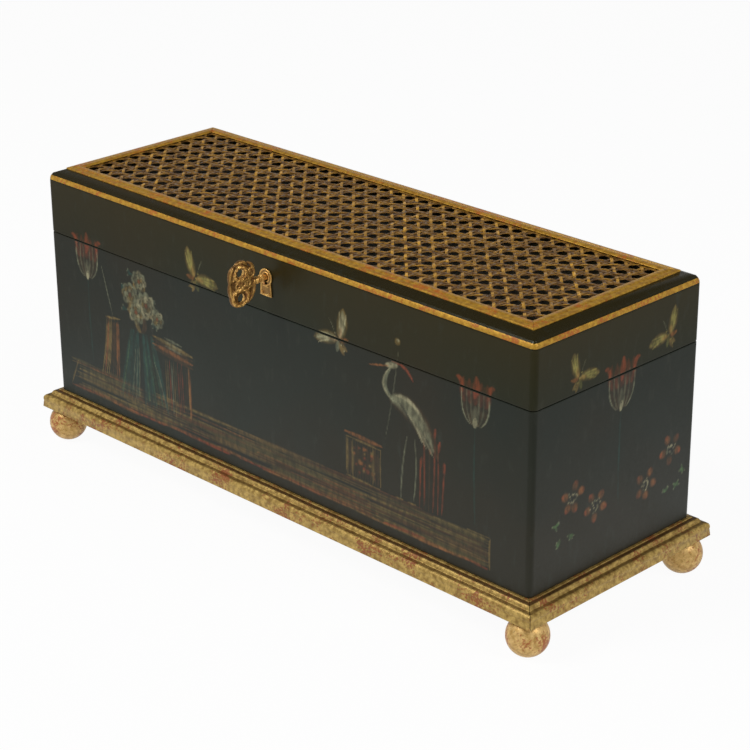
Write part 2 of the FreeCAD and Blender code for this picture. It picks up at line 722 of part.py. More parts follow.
# Lock: plate and selvage, cap, barrel and bolt
LOCK_HALF = "(lock_width / 2)"
lock_screws, lock_holes = screws_and_holes(
    "lock_screw",
    [(f"{sign}({LOCK_HALF} + lock_ear / 2)", PLATE_BACK, z)
     for sign in ("-", "")
     for z in (f"{LOCK_BOTTOM} + lock_screw_inset", f"{LOCK_TOP} - lock_screw_inset")],
    **INTO_FRONT)
EAR_END = f"({LOCK_HALF} + lock_ear)"
plate_blank = fuse("lock_plate_blank", [
    block("lock_back", (f"-{EAR_END}", EAR_END), (INSIDE, PLATE_BACK), (LOCK_BOTTOM, LOCK_TOP)),
    block("selvage", (f"-{LOCK_HALF}", LOCK_HALF), (INSIDE, CAP_BACK), (LOCK_BOTTOM, SELVAGE_TOP)),
])
barrel_hole = rod("barrel_hole", "barrel_dia / 2 + barrel_clearance",
                  "lock_plate_thick + 2 * cut_overrun", "y", y=f"{INSIDE} - cut_overrun", z=KEY_Z)
node("lock_plate", cut("plate", plate_blank, tongue_slots + [barrel_hole] + lock_holes))
node("lock_screws", group("lock_screw_group", lock_screws))
cap_blank = block("cap_blank", (f"-{LOCK_HALF}", LOCK_HALF), (PLATE_BACK, CAP_BACK),
                  (SELVAGE_TOP, LOCK_TOP))
cap_room = block("cap_room", (f"lock_cap_wall - {LOCK_HALF}", f"{LOCK_HALF} - lock_cap_wall"),
                 (f"{PLATE_BACK} - cut_overrun", CAP_INSIDE),
                 (f"{SELVAGE_TOP} - cut_overrun", LOCK_ROOM_TOP))
node("lock_cap", cut("cap", cap_blank, [cap_room]))

SOCKET_FRONT = f"({INSIDE} + lock_clearance)"
barrel_blank = fuse("barrel_blank", [
    rod("journal", "barrel_dia / 2", f"{FLANGE_FRONT} - {SOCKET_FRONT}", "y", y=SOCKET_FRONT, z=KEY_Z),
    rod("flange", "flange_dia / 2", "flange_thick", "y", y=FLANGE_FRONT, z=KEY_Z),
    rod("crank_pin", "crank_pin_dia / 2", f"{BOLT_BACK} - {FLANGE_FRONT}", "y",
        x=f"-{CRANK_SIDE}", y=FLANGE_FRONT, z=f"{KEY_Z} + {CRANK_SIDE}"),
])


def key_way(name, clearance, front, back):
    """The way for a key's shank and bit."""
    return [
        rod(name + "_round", f"shank_dia / 2 + {clearance}", f"{back} - {front}", "y", y=front, z=KEY_Z),
        block(name + "_slot", (f"-bit_thick / 2 - {clearance}", f"bit_thick / 2 + {clearance}"),
              (front, back), (f"{KEY_Z} - bit_drop - {clearance}", KEY_Z)),
    ]


socket = key_way("socket", "socket_clearance", f"({SOCKET_FRONT} - cut_overrun)", SOCKET_BACK)
node("lock_barrel", cut("barrel", barrel_blank, socket))

# Bolt: drawn unlocked, its two fingers standing clear of the tongues on their left
ARM_LOW = f"({SELVAGE_TOP} + lock_clearance)"
BOLT_LOW = f"({TONGUE_TOP} + finger_gap)"
CRANK_ROOM = "(crank_pin_dia / 2 + crank_clearance)"
BOLT_TOP = f"({KEY_Z} + crank_radius + {CRANK_ROOM} + bolt_web)"


def bolt_arm(sign):
    """The lower edge of the bolt at one tongue, from the arm's left side to its right."""
    tip = f"({sign}tongue_offset - tongue_width / 2 - finger_stand_off)"
    right = f"({tip} - {THROW})"
    left = f"({right} - bolt_arm)"
    return left, tip, [
        (left, ARM_LOW),
        (right, ARM_LOW),
        (right, FINGER_BOTTOM),
        (tip, FINGER_BOTTOM),
        (tip, FINGER_TOP),
        (right, FINGER_TOP),
        (right, BOLT_LOW),
    ]


bolt = doc.addObject("PartDesign::Body", "bolt")
bolt_plan = sketch(bolt, "bolt_plan", "XZ", f"-{BOLT_FRONT}")
bolt_left, _, first_arm = bolt_arm("-")
second_left, bolt_right, second_arm = bolt_arm("")
outline(bolt_plan, [(bolt_left, BOLT_TOP)] + first_arm + [(second_left, BOLT_LOW)] + second_arm + [
    (bolt_right, BOLT_LOW),
    (bolt_right, BOLT_TOP),
])
SLOT_LEFT = f"(-{CRANK_SIDE} - {CRANK_ROOM})"
SLOT_RIGHT = f"({CRANK_ROOM} - {CRANK_SIDE})"
SLOT_LOW = f"({KEY_Z} + {CRANK_SIDE} - {CRANK_ROOM})"
SLOT_HIGH = f"({KEY_Z} + crank_radius + {CRANK_ROOM})"
outline(bolt_plan, [(SLOT_LEFT, SLOT_LOW), (SLOT_RIGHT, SLOT_LOW), (SLOT_RIGHT, SLOT_HIGH),
                    (SLOT_LEFT, SLOT_HIGH)])
pad(bolt, bolt_plan, "bolt_thick", reverse=True)
node("lock_bolt", bolt)

# Escutcheon: an arched plate pinned to the lid's front
KEYHOLE_FRONT = f"({ESCUTCHEON_FACE} - cut_overrun)"
keyhole = key_way("keyhole", "keyhole_clearance", KEYHOLE_FRONT, f"({INSIDE} + cut_overrun)")
arch = doc.addObject("PartDesign::Body", "arch")
arch_foot = sketch(arch, "arch_foot", "XZ", HALF_Y)
outline(arch_foot, [
    ("-escutcheon_foot / 2", f"{KEY_Z} - escutcheon_drop"),
    ("escutcheon_foot / 2", f"{KEY_Z} - escutcheon_drop"),
    ("escutcheon_waist / 2", KEY_Z),
    ("-escutcheon_waist / 2", KEY_Z),
])
pad(arch, arch_foot, "escutcheon_thick")
arch_head = sketch(arch, "arch_head", "XZ", HALF_Y)
circle(arch_head, "0", KEY_Z, "escutcheon_radius")
pad(arch, arch_head, "escutcheon_thick")


def escutcheon_pin(name, sign, clearance):
    start = f"{ESCUTCHEON_FACE} - pin_proud - {clearance}"
    return rod(name, f"pin_dia / 2 + {clearance}", f"pin_length + 2 * {clearance}", "y",
               x=f"{sign}(escutcheon_foot / 2 - pin_inset)", y=start,
               z=f"{KEY_Z} - escutcheon_drop + pin_inset")


pins = [escutcheon_pin(f"pin_{i}", sign, "0") for i, sign in enumerate(("-", ""))]
pin_holes = [escutcheon_pin(f"pin_hole_{i}", sign, "pin_clearance") for i, sign in enumerate(("-", ""))]
node("escutcheon", cut("arch_cut", arch, keyhole + pin_holes))
node("escutcheon_pins", group("pins", pins))
node("lid_front_wall", cut("lid_front", lid_front, keyhole + pin_holes + lock_holes))

# Key: shank and bit, a ball collar, and an openwork bow of four rings
shank = rod("shank", "shank_dia / 2", f"{KEY_TIP} - {BOW_START} + bow_side_radius - bow_side_piercing", "y",
            y=f"{BOW_START} - bow_side_radius + bow_side_piercing", z=KEY_Z)
bit = block("bit", ("-bit_thick / 2", "bit_thick / 2"), (f"{KEY_TIP} - bit_length", KEY_TIP),
            (f"{KEY_Z} - bit_drop", KEY_Z))
collar = doc.addObject("Part::Sphere", "collar")
bind(collar, Radius="collar_dia / 2")
place(collar, y=f"{ESCUTCHEON_FACE} - collar_place", z=KEY_Z)
BOW_RISE = "(bow_height / 2 - bow_end_radius)"
BOW_SPREAD = "(bow_depth / 2 - bow_side_radius)"
bow_discs = []
bow_holes = []
for name, y, z, kind in (
    ("top", "0", BOW_RISE, "end"),
    ("bottom", "0", f"-{BOW_RISE}", "end"),
    ("outer", f"-{BOW_SPREAD}", "0", "side"),
    ("inner", BOW_SPREAD, "0", "side"),
):
    centre = {"y": f"{BOW_Y} + {y}", "z": f"{KEY_Z} + {z}"}
    bow_discs.append(rod(f"bow_{name}", f"bow_{kind}_radius", "bow_thick", "x", x="-bow_thick / 2",
                         **centre))
    bow_holes.append(rod(f"bow_{name}_hole", f"bow_{kind}_piercing", "2 * bow_thick", "x", x="-bow_thick",
                         **centre))
bow = cut("bow", fuse("bow_blank", bow_discs), bow_holes)
node("key", fuse("key_whole", [bow, collar, shank, bit]))

doc.recompute()

# Every object has to be sound before anything is written
for obj in doc.Objects:
    bad = [state for state in obj.State if state in ("Invalid", "Error")]
    if bad:
        raise RuntimeError("%s (%s) failed: %s" % (obj.Name, obj.Label, bad))
GROUPS = {"hinge_case_screws": 6, "hinge_lid_screws": 6, "lock_screws": 4, "lock_link_screws": 2,
          "escutcheon_pins": 2}
for name, obj in nodes.items():
    if obj.Shape.isNull() or not obj.Shape.isValid():
        raise RuntimeError(name + " has no valid shape")
    if len(obj.Shape.Solids) != GROUPS.get(name, 1):
        raise RuntimeError("%s has %d solids" % (name, len(obj.Shape.Solids)))

os.makedirs("parts", exist_ok=True)
for name, obj in nodes.items():
    obj.Shape.exportStep("parts/%s.step" % name)
print("%d sub-parts written" % len(nodes))
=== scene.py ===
# %% [markdown]
# # A long lacquered box
# The real box is about half a metre long: thin boards under many coats of black lacquer, on a gilt
# moulded base with four turned ball feet. Its lid holds a panel of woven cane in a gilt frame, and a
# cast key stands in the lock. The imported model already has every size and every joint, so the pieces
# made here are laid over its bodies and move with them.

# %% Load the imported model
import math
import random

import bmesh
import bpy
import numpy as np
from mathutils import Matrix, Vector


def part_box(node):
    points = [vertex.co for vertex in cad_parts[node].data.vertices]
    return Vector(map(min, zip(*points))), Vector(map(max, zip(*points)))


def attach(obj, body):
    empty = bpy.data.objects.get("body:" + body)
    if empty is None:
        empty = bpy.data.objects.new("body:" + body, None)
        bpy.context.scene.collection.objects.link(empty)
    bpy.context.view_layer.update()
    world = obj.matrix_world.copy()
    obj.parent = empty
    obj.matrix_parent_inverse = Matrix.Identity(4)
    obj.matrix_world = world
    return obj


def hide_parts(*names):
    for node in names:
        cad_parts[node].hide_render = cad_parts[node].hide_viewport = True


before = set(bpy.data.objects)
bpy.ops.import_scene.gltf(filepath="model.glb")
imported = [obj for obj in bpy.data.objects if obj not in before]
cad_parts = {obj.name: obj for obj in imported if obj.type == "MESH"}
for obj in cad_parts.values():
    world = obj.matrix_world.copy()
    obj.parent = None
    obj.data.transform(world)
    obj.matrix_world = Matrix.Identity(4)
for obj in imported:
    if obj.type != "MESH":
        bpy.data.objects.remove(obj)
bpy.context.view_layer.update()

# %% [markdown]
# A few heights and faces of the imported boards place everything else. They could be typed in again,
# but read from the model they stay right when the box is packed at another size.

# %% Read the main sizes
MM = 0.001
front_low, front_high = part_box("case_front_wall")
HALF_LENGTH = front_high.x
FRONT = front_low.y
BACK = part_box("case_back_wall")[1].y
MIDDLE = (FRONT + BACK) / 2
HALF_DEPTH = (BACK - FRONT) / 2
BASE_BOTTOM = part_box("base_moulding_front")[0].z
BASE_TOP = front_low.z
SEAM = front_high.z
LID_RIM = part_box("lid_front_wall")[0].z
LID_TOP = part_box("lid_front_wall")[1].z
KEY_HEIGHT = sum(corner.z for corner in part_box("lock_barrel")) / 2
CORNER = 4 * MM
WALL = 10 * MM
SIDES = ("front", "right", "back", "left")
print(f"case {2000 * HALF_LENGTH:.0f} by {2000 * HALF_DEPTH:.0f} mm, seam at {1000 * SEAM:.1f} mm")

# %% [markdown]
# The photograph looks down on the box from its front right corner. The camera's place and focal
# length were fitted to the corners of the box, so a long lens stands about a metre and a half away.

# %% Stand the camera
AZIMUTH = math.radians(45.2)
ELEVATION = math.radians(23.06)
ROLL = math.radians(-0.343)
DISTANCE = 1.5686
FOCAL_PIXELS = 2215.6
PHOTO_SIDE = 750
SENSOR = 36.0
level = math.cos(ELEVATION)
backwards = Vector((math.sin(AZIMUTH) * level, -math.cos(AZIMUTH) * level, math.sin(ELEVATION)))
rightwards = Vector((math.cos(AZIMUTH), math.sin(AZIMUTH), 0))
turned = Matrix((rightwards, backwards.cross(rightwards), backwards)).transposed()
lens = bpy.data.cameras.new("camera")
lens.sensor_width = SENSOR
lens.lens = SENSOR * FOCAL_PIXELS / PHOTO_SIDE
camera = bpy.data.objects.new("camera", lens)
looked_at = Vector((0.0208, MIDDLE, 0.1052))
camera.matrix_world = (
    Matrix.Translation(looked_at + backwards * DISTANCE)
    @ (Matrix.Rotation(ROLL, 3, backwards) @ turned).to_4x4()
)
scene = bpy.context.scene
scene.collection.objects.link(camera)
scene.camera = camera
print(f"camera with a {lens.lens:.0f} mm lens")

# %% [markdown]
# Every finish on the box is a mixture of a few clouds of noise: one for colour, one for wear, one for
# the unevenness under the fingers. Nodes could be wired one by one for each material, but a small
# class keeps each finish to a few readable lines. Noise is read in the piece's own coordinates, so it
# stays on the piece when the lid opens.

# %% A helper that mixes finishes
class Finish:
    """A material, with short ways to add the nodes that its look is built from."""

    def __init__(self, name, **constants):
        self.material = bpy.data.materials.new(name)
        self.material.use_nodes = True
        self.tree = self.material.node_tree
        self.shader = self.tree.nodes["Principled BSDF"]
        self.feed(**constants)
        self.place = self.tree.nodes.new("ShaderNodeTexCoord").outputs["Object"]

    def plug(self, socket, value):
        if isinstance(value, bpy.types.NodeSocket):
            self.tree.links.new(value, socket)
        elif isinstance(value, tuple) and socket.type == "RGBA":
            socket.default_value = (*value, 1)
        else:
            socket.default_value = value

    def node(self, kind, inputs, **settings):
        made = self.tree.nodes.new("ShaderNode" + kind)
        for name, value in settings.items():
            setattr(made, name, value)
        for socket, value in inputs.items():
            self.plug(made.inputs[socket], value)
        return made

    def noise(self, scale, detail=4.0, stretch=(1, 1, 1)):
        """Cloudy values around 0.5. scale is about how many clouds fit into a metre."""
        spread = self.node("Mapping", {"Vector": self.place, "Scale": stretch})
        inputs = {"Vector": spread.outputs[0], "Scale": scale, "Detail": detail}
        return self.node("TexNoise", inputs).outputs["Fac"]

    def span(self, value, low, high, to_low=0.0, to_high=1.0):
        """Stretch the values between low and high over another span, and clamp the rest."""
        inputs = {"Value": value, "From Min": low, "From Max": high, "To Min": to_low, "To Max": to_high}
        return self.node("MapRange", inputs).outputs["Result"]

    def math(self, operation, a, b=0.0):
        return self.node("Math", {0: a, 1: b}, operation=operation).outputs[0]

    def mix(self, share, a, b):
        made = self.node("Mix", {0: share, 6: a, 7: b}, data_type="RGBA")
        return made.outputs[2]

    def along(self, axis):
        return self.node("SeparateXYZ", {0: self.place}).outputs[axis]

    def distance(self, axis, place):
        return self.math("ABSOLUTE", self.math("SUBTRACT", self.along(axis), place))

    def attribute(self, name, output):
        return self.node("Attribute", {}, attribute_name=name).outputs[output]

    def bump(self, height, depth, strength=1.0):
        made = self.node("Bump", {"Height": height, "Distance": depth, "Strength": strength})
        self.plug(self.shader.inputs["Normal"], made.outputs["Normal"])

    def feed(self, **sockets):
        for socket, value in sockets.items():
            self.plug(self.shader.inputs[socket.replace("_", " ")], value)
        return self.material


print("finishes are mixed from noise on each piece's own coordinates")

# %% [markdown]
# The stage is a sheet of white paper under soft light. The paper could be lit until it turned white,
# but that would bleach the gold, so most of its white is its own glow, seen only by the camera and in
# reflections. The rest takes light as paper does and keeps the shadow under the feet. In reflections
# the glow is a painted pool of light, brightest round the box and darker away from it.

# %% Lay the paper floor
GLOW_SHARE = 0.95
# edges and strengths of the painted pool of light in the paper's glow
PAINTED_POOL_EDGES = (0.1, 0.36)
PAINTED_POOL_GLOW = (0.84, 0.46)
NARROWER_BESIDE = 1.5
PAPER_REACH = 6.0


def as_object(bm, name):
    """Turn a mesh in the making into an object of the scene."""
    mesh = bpy.data.meshes.new(name)
    bm.to_mesh(mesh)
    bm.free()
    made = bpy.data.objects.new(name, mesh)
    scene.collection.objects.link(made)
    return made


scene.view_settings.view_transform = "Standard"
paper = Finish("white_paper", Base_Color=(0.88, 0.88, 0.87), Roughness=0.9, Specular_IOR_Level=0.0)
rays = paper.node("LightPath", {}).outputs
beside = paper.math("SUBTRACT", paper.distance("X", 0.0), HALF_LENGTH)
before = paper.math("SUBTRACT", paper.distance("Y", MIDDLE), HALF_DEPTH)
away = paper.math("MAXIMUM", paper.math("MULTIPLY", beside, NARROWER_BESIDE), before)
# painted pool of light: in reflections the paper's glow fades away from the box
painted_pool = paper.span(away, *PAINTED_POOL_EDGES, *PAINTED_POOL_GLOW)
glow = paper.node("Emission", {"Strength": paper.math("MAXIMUM", rays["Is Camera Ray"], painted_pool)})
mirrored = paper.math("MAXIMUM", rays["Is Glossy Ray"], rays["Is Transmission Ray"])
seen = paper.math("MAXIMUM", rays["Is Camera Ray"], mirrored)
share = paper.math("MULTIPLY", seen, GLOW_SHARE)
either = paper.node("MixShader", {0: share, 1: paper.shader.outputs[0], 2: glow.outputs[0]})
paper.plug(paper.tree.nodes["Material Output"].inputs["Surface"], either.outputs[0])
sheet = bmesh.new()
bmesh.ops.create_grid(sheet, x_segments=1, y_segments=1, size=PAPER_REACH)
floor = as_object(sheet, "paper_floor")
floor.data.materials.append(paper.material)
print("floor", tuple(floor.dimensions))

# %% [markdown]
# A room that is pale at the horizon and dark overhead gives the lacquer something to reflect. One
# wide lamp at the front left draws the light side of the mouldings, and a weaker one opens the end.

# %% Light the studio
HORIZON = (0.9, 0.92, 0.9, 1)
OVERHEAD = (0.12, 0.12, 0.12, 1)
DARK_FROM = 0.6
world = bpy.data.worlds.new("studio")
scene.world = world
world.use_nodes = True
sky_nodes = world.node_tree.nodes
sky_links = world.node_tree.links
heading = sky_nodes.new("ShaderNodeSeparateXYZ")
sky_links.new(sky_nodes.new("ShaderNodeTexCoord").outputs["Generated"], heading.inputs[0])
fade = sky_nodes.new("ShaderNodeValToRGB")
fade.color_ramp.elements[0].color = HORIZON
fade.color_ramp.elements[1].color = OVERHEAD
fade.color_ramp.elements[1].position = DARK_FROM
sky_links.new(heading.outputs["Z"], fade.inputs["Fac"])
sky_links.new(fade.outputs["Color"], sky_nodes["Background"].inputs["Color"])


def soft_lamp(name, place, side, watts):
    lamp = bpy.data.lights.new(name, "AREA")
    lamp.size = side
    lamp.energy = watts
    holder = bpy.data.objects.new(name, lamp)
    holder.location = place
    holder.rotation_euler = (Vector(place) - looked_at).to_track_quat("Z", "Y").to_euler()
    scene.collection.objects.link(holder)


soft_lamp("front_lamp", (-0.6, -1.5, 1.9), side=1.0, watts=34)
soft_lamp("end_lamp", (1.9, 0.2, 1.5), side=0.8, watts=18)

# %% [markdown]
# ## Lacquer
# The lacquer is a brown black with a green cast here and there. On the lid it grows browner towards
# the top and reflects more warmly. Its gloss is broken by fine rubbing. A plain dark colour would
# look like plastic, so clouds a hand wide move the colour, fine ones move the gloss, and a slight
# waviness bends the reflections. The front and the ends carry thin oil paint: there the recipe also
# reads an attribute with the paint's colour and how thickly it lies, and lets worn spots through.

# %% Mix the black lacquer
COOL = (0.92, 1.0, 0.94)
WARM = (1.0, 0.96, 0.62)
GREEN_BLACK = (0.009, 0.0115, 0.0062)
BROWN_BLACK = (0.0152, 0.0115, 0.004)
TOP_BROWN = (0.021, 0.0145, 0.002)
RUBBED = (0.022, 0.023, 0.015)


def lacquer_finish(name, gloss=0.28, shine=0.36, tint=COOL, painted=False):
    lacquer = Finish(name, Specular_IOR_Level=shine, Specular_Tint=tint)
    cast = lacquer.span(lacquer.noise(6.0, 3.0), 0.42, 0.6)
    colour = lacquer.mix(cast, GREEN_BLACK, BROWN_BLACK)
    # the lid's lacquer grows browner from the seam towards its top
    browner = lacquer.span(lacquer.along("Z"), SEAM, LID_TOP, 0.0, 0.8)
    colour = lacquer.mix(browner, colour, TOP_BROWN)
    rub = lacquer.span(lacquer.noise(170.0, 7.0, (1, 1, 0.35)), 0.58, 0.8)
    colour = lacquer.mix(rub, colour, RUBBED)
    if painted:
        kept = lacquer.span(lacquer.noise(300.0, 6.0, (1, 1, 0.5)), 0.4, 0.62, 1.0, 0.4)
        cover = lacquer.math("MULTIPLY", lacquer.attribute("paint", "Alpha"), kept)
        colour = lacquer.mix(cover, colour, lacquer.attribute("paint", "Color"))
    haze = lacquer.math("ADD", lacquer.noise(26.0, 5.0), lacquer.noise(420.0, 3.0))
    lacquer.bump(lacquer.noise(60.0, 3.0), 0.00012, 0.5)
    return lacquer.feed(Base_Color=colour, Roughness=lacquer.span(haze, 0.7, 1.3, gloss, gloss + 0.14))


LID_SHINE = 0.33
case_lacquer = lacquer_finish("case_lacquer")
painted_lacquer = lacquer_finish("painted_lacquer", painted=True)
lid_lacquer = lacquer_finish("lid_lacquer", shine=LID_SHINE, tint=WARM)
painted_lid_lacquer = lacquer_finish("painted_lid_lacquer", shine=LID_SHINE, tint=WARM, painted=True)
band_lacquer = lacquer_finish("band_lacquer", gloss=0.2, shine=0.22)
inside_lacquer = lacquer_finish("inside_lacquer", gloss=0.5)
print("lacquers:", [m.name for m in (case_lacquer, lid_lacquer, band_lacquer, inside_lacquer)])

# %% [markdown]
# ## Gilding
# The base and the feet are wood under red clay and gold leaf. Where the leaf has rubbed through, the
# clay shows as rust-red specks, and painted shade darkens the hollows. The lid's gold is the same work
# in a deeper tone. Both come from one recipe: pale and deep leaf, fine dark specks, rust where two
# clouds are high together, and painted shade as dark lines at the heights of the hollows.

# %% Mix the gilding
SHADE_LINE_REACH = (0.1 * MM, 0.45 * MM)
HOLLOW_SHADE = (0.055, 0.02, 0.008)


def gilt_finish(name, pale, deep, clay, rubbed, hollows=()):
    gilt = Finish(name, Specular_IOR_Level=0.35)
    leaf = gilt.mix(gilt.span(gilt.noise(300.0, 8.0), 0.34, 0.66), deep, pale)
    specks = gilt.span(gilt.noise(1100.0, 3.0), 0.58, 0.7, 0.0, 0.55)
    leaf = gilt.mix(specks, leaf, tuple(0.35 * part for part in deep))
    worn = gilt.math("ADD", gilt.noise(70.0, 3.0), gilt.noise(620.0, 5.0))
    bare = gilt.span(worn, rubbed, rubbed + 0.13, 0.0, 0.85)
    colour = gilt.mix(bare, leaf, clay)
    # painted shade: a dark line at the height of each hollow of the base
    for place, strength in hollows:
        painted_shade = gilt.span(gilt.distance("Z", place), *SHADE_LINE_REACH, strength, 0.0)
        colour = gilt.mix(painted_shade, colour, HOLLOW_SHADE)
    gilt.bump(gilt.noise(420.0, 6.0), 0.0002, 0.6)
    metal = gilt.span(bare, 0.0, 0.8, 0.4, 0.05)
    rough = gilt.span(gilt.noise(300.0, 4.0), 0.3, 0.7, 0.32, 0.5)
    return gilt.feed(Base_Color=colour, Metallic=metal, Roughness=rough)


# heights and strengths of the painted shade lines in the base's hollows
LEDGE = (BASE_TOP, 0.2)
QUIRK = (BASE_TOP - 1.0 * MM, 0.85)
UNDER_BEAD = (BASE_TOP - 4.3 * MM, 0.55)
base_gilt = gilt_finish("base_gilt", pale=(0.59, 0.4, 0.115), deep=(0.27, 0.16, 0.035),
                        clay=(0.26, 0.06, 0.014), rubbed=1.07, hollows=(LEDGE, QUIRK, UNDER_BEAD))
foot_gilt = gilt_finish("foot_gilt", pale=(0.8, 0.54, 0.21), deep=(0.48, 0.28, 0.075),
                        clay=(0.36, 0.085, 0.022), rubbed=1.06)
lid_gilt = gilt_finish("lid_gilt", pale=(0.58, 0.325, 0.035), deep=(0.35, 0.165, 0.014),
                       clay=(0.38, 0.095, 0.01), rubbed=1.04)
print("gildings:", base_gilt.name, foot_gilt.name, lid_gilt.name)

# %% [markdown]
# ## Metals
# The key and its escutcheon are one copper-gold casting alloy, dark red in the hollows. The hinges and
# the lock are plain brass. The castings carry their hollows as an attribute, which is measured on the
# mesh later, so the dark tone lies where a polishing cloth can't reach.

# %% Mix the metals
def cast_finish(name):
    cast = Finish(name, Specular_IOR_Level=0.5)
    tone = cast.mix(cast.span(cast.noise(380.0, 5.0), 0.35, 0.65), (0.6, 0.32, 0.08), (0.88, 0.53, 0.15))
    red = cast.span(cast.noise(330.0, 4.0), 0.55, 0.68, 0.0, 0.65)
    tone = cast.mix(red, tone, (0.3, 0.09, 0.03))
    tone = cast.mix(cast.attribute("hollow", "Fac"), tone, (0.075, 0.025, 0.007))
    cast.bump(cast.noise(480.0, 4.0), 0.0005, 0.9)
    rough = cast.span(cast.noise(500.0, 3.0), 0.3, 0.7, 0.26, 0.46)
    return cast.feed(Base_Color=tone, Metallic=0.65, Roughness=rough)


def plain_metal(name, colour, dull, rough):
    metal = Finish(name)
    tone = metal.mix(metal.span(metal.noise(260.0, 6.0), 0.4, 0.7), colour, dull)
    metal.bump(metal.noise(900.0, 3.0, (0.1, 1, 1)), 0.00004, 0.5)
    worn = metal.span(metal.noise(400.0, 5.0), 0.3, 0.7, rough, rough + 0.16)
    return metal.feed(Base_Color=tone, Metallic=0.92, Roughness=worn)


key_cast = cast_finish("key_casting")
brass = plain_metal("dull_brass", (0.6, 0.42, 0.17), (0.3, 0.19, 0.07), 0.3)
steel = plain_metal("lock_steel", (0.42, 0.41, 0.39), (0.2, 0.18, 0.16), 0.32)
print("metals:", key_cast.name, brass.name, steel.name)

# %% [markdown]
# ## Lacquered boards
# Under the lacquer the four boards of the case, and of the lid, show no joints: the coats run round
# the corners. So each is one swept ring. It could be a box with booleans, but here the outline of the
# box is drawn once, its corners are rounded, and the ring of edges is extruded from one station of
# the section to the next. Insets smaller than the corner's radius keep it round, larger ones are
# mitred.

# %% A helper for swept rings
def verts_in(geometry):
    return [g for g in geometry if isinstance(g, bmesh.types.BMVert)]


def edges_in(geometry):
    return [g for g in geometry if isinstance(g, bmesh.types.BMEdge)]


def rounded_outline(bm):
    """A rectangle as large as the box, with rounded corners, as a ring of edges."""
    bmesh.ops.create_grid(bm, x_segments=1, y_segments=1, size=1)
    bmesh.ops.scale(bm, vec=(HALF_LENGTH, HALF_DEPTH, 1), verts=bm.verts)
    bmesh.ops.bevel(bm, geom=bm.verts[:], offset=CORNER, segments=8, profile=0.5,
                    affect="VERTICES", material=-1)
    bmesh.ops.delete(bm, geom=bm.faces[:], context="FACES_ONLY")
    return bm.edges[:]


def inset_place(point, inset):
    """Where a point of the outline goes when the outline is drawn in by inset."""
    side = Vector((math.copysign(1, point.x), math.copysign(1, point.y)))
    if inset < CORNER:
        centre = Vector((side.x * (HALF_LENGTH - CORNER), side.y * (HALF_DEPTH - CORNER)))
        return centre + (point.xy - centre) * (1 - inset / CORNER)
    return Vector((side.x * (HALF_LENGTH - inset), side.y * (HALF_DEPTH - inset)))


def swept_ring(section):
    """A closed band around the box. section holds (inset, height, finish of the next face)."""
    bm = bmesh.new()
    ring = rounded_outline(bm)
    order = bm.verts.layers.int.new("order")
    outline = [v.co.copy() for v in bm.verts]
    for number, v in enumerate(bm.verts):
        v[order] = number
    for step, (inset, height, finish) in enumerate(section + section[:1]):
        verts = {v for e in ring for v in e.verts}
        if step:
            grown = bmesh.ops.extrude_edge_only(bm, edges=ring)["geom"]
            verts = verts_in(grown)
            ring = edges_in(grown)
            for face in {f for e in ring for f in e.link_faces}:
                face.material_index = section[step - 1][2]
        for v in verts:
            v.co.xy = inset_place(outline[v[order]], inset)
            v.co.z = height
    bmesh.ops.remove_doubles(bm, verts=bm.verts, dist=1e-6)
    bmesh.ops.translate(bm, vec=(0, MIDDLE, 0), verts=bm.verts)
    return bm


print("a ring is swept through the stations of a section")

# %% [markdown]
# Every finished mesh becomes a piece in the same way: its faces are turned outwards, its soft edges
# are smoothed, and it is tied to the body that it moves with. Its finishes go into its slots, and it
# can stand for nodes of the imported model, which are then hidden.

# %% A helper that finishes a piece
def finish_piece(bm, name, body, finishes, replaces=(), sharp=35):
    """Turn a mesh into a piece that rides on a body, smooth except at its sharp edges."""
    bmesh.ops.recalc_face_normals(bm, faces=bm.faces)
    for face in bm.faces:
        face.smooth = True
    for edge in bm.edges:
        edge.smooth = edge.calc_face_angle(0) < math.radians(sharp)
    piece = as_object(bm, name)
    for finish in finishes:
        piece.data.materials.append(finish)
    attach(piece, body)
    if replaces:
        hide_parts(*replaces)
    print(f"{name}: {len(piece.data.polygons)} faces on {body}")
    return piece


def even_shading(piece):
    """Large flat faces keep their own normal beside narrow rounded ones."""
    piece.modifiers.new("even_shading", "WEIGHTED_NORMAL").keep_sharp = True


# %% [markdown]
# A board on edge is eight stations of a section: its outer edges are softened by the lacquer, its inner
# ones stay square. The case and the lid are the same section between other heights.

# %% Make the case and the lid
def board_section(low, high, soft):
    """A board on edge, its outer edges softened by the lacquer."""
    slight = 0.3 * soft
    return [
        (soft, low, 0), (slight, low + slight, 0), (0, low + soft, 0),
        (0, high - soft, 0), (slight, high - slight, 0), (soft, high, 0),
        (WALL, high, 1), (WALL, low, 0),
    ]


SOFT_EDGE = 0.7 * MM
case_walls = finish_piece(
    swept_ring(board_section(BASE_TOP, SEAM, SOFT_EDGE)), "case_walls", "case",
    [case_lacquer, inside_lacquer], [f"case_{side}_wall" for side in SIDES])
lid_walls = finish_piece(
    swept_ring(board_section(LID_RIM, LID_TOP, SOFT_EDGE)), "lid_walls", "lid",
    [lid_lacquer, inside_lacquer], [f"lid_{side}_wall" for side in SIDES])

# %% [markdown]
# The hinge leaves lie in shallow housings in the back boards, and the key passes through the lid's
# front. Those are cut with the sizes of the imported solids, so the metal fits. A boolean modifier does
# the cutting, as a saw and a chisel would. Its result is kept and the cutter is thrown away, so no cut
# has to be worked out again.

# %% Cut the housings and the keyhole
def cutter(low, high):
    """A box that is cut away, between two corners."""
    bm = bmesh.new()
    bmesh.ops.create_cube(bm, size=1)
    bmesh.ops.scale(bm, vec=high - low, verts=bm.verts)
    bmesh.ops.translate(bm, vec=(low + high) / 2, verts=bm.verts)
    return bm


def carried_out(piece):
    """The mesh of a piece after its modifiers."""
    bpy.context.view_layer.update()
    return bpy.data.meshes.new_from_object(piece.evaluated_get(bpy.context.evaluated_depsgraph_get()))


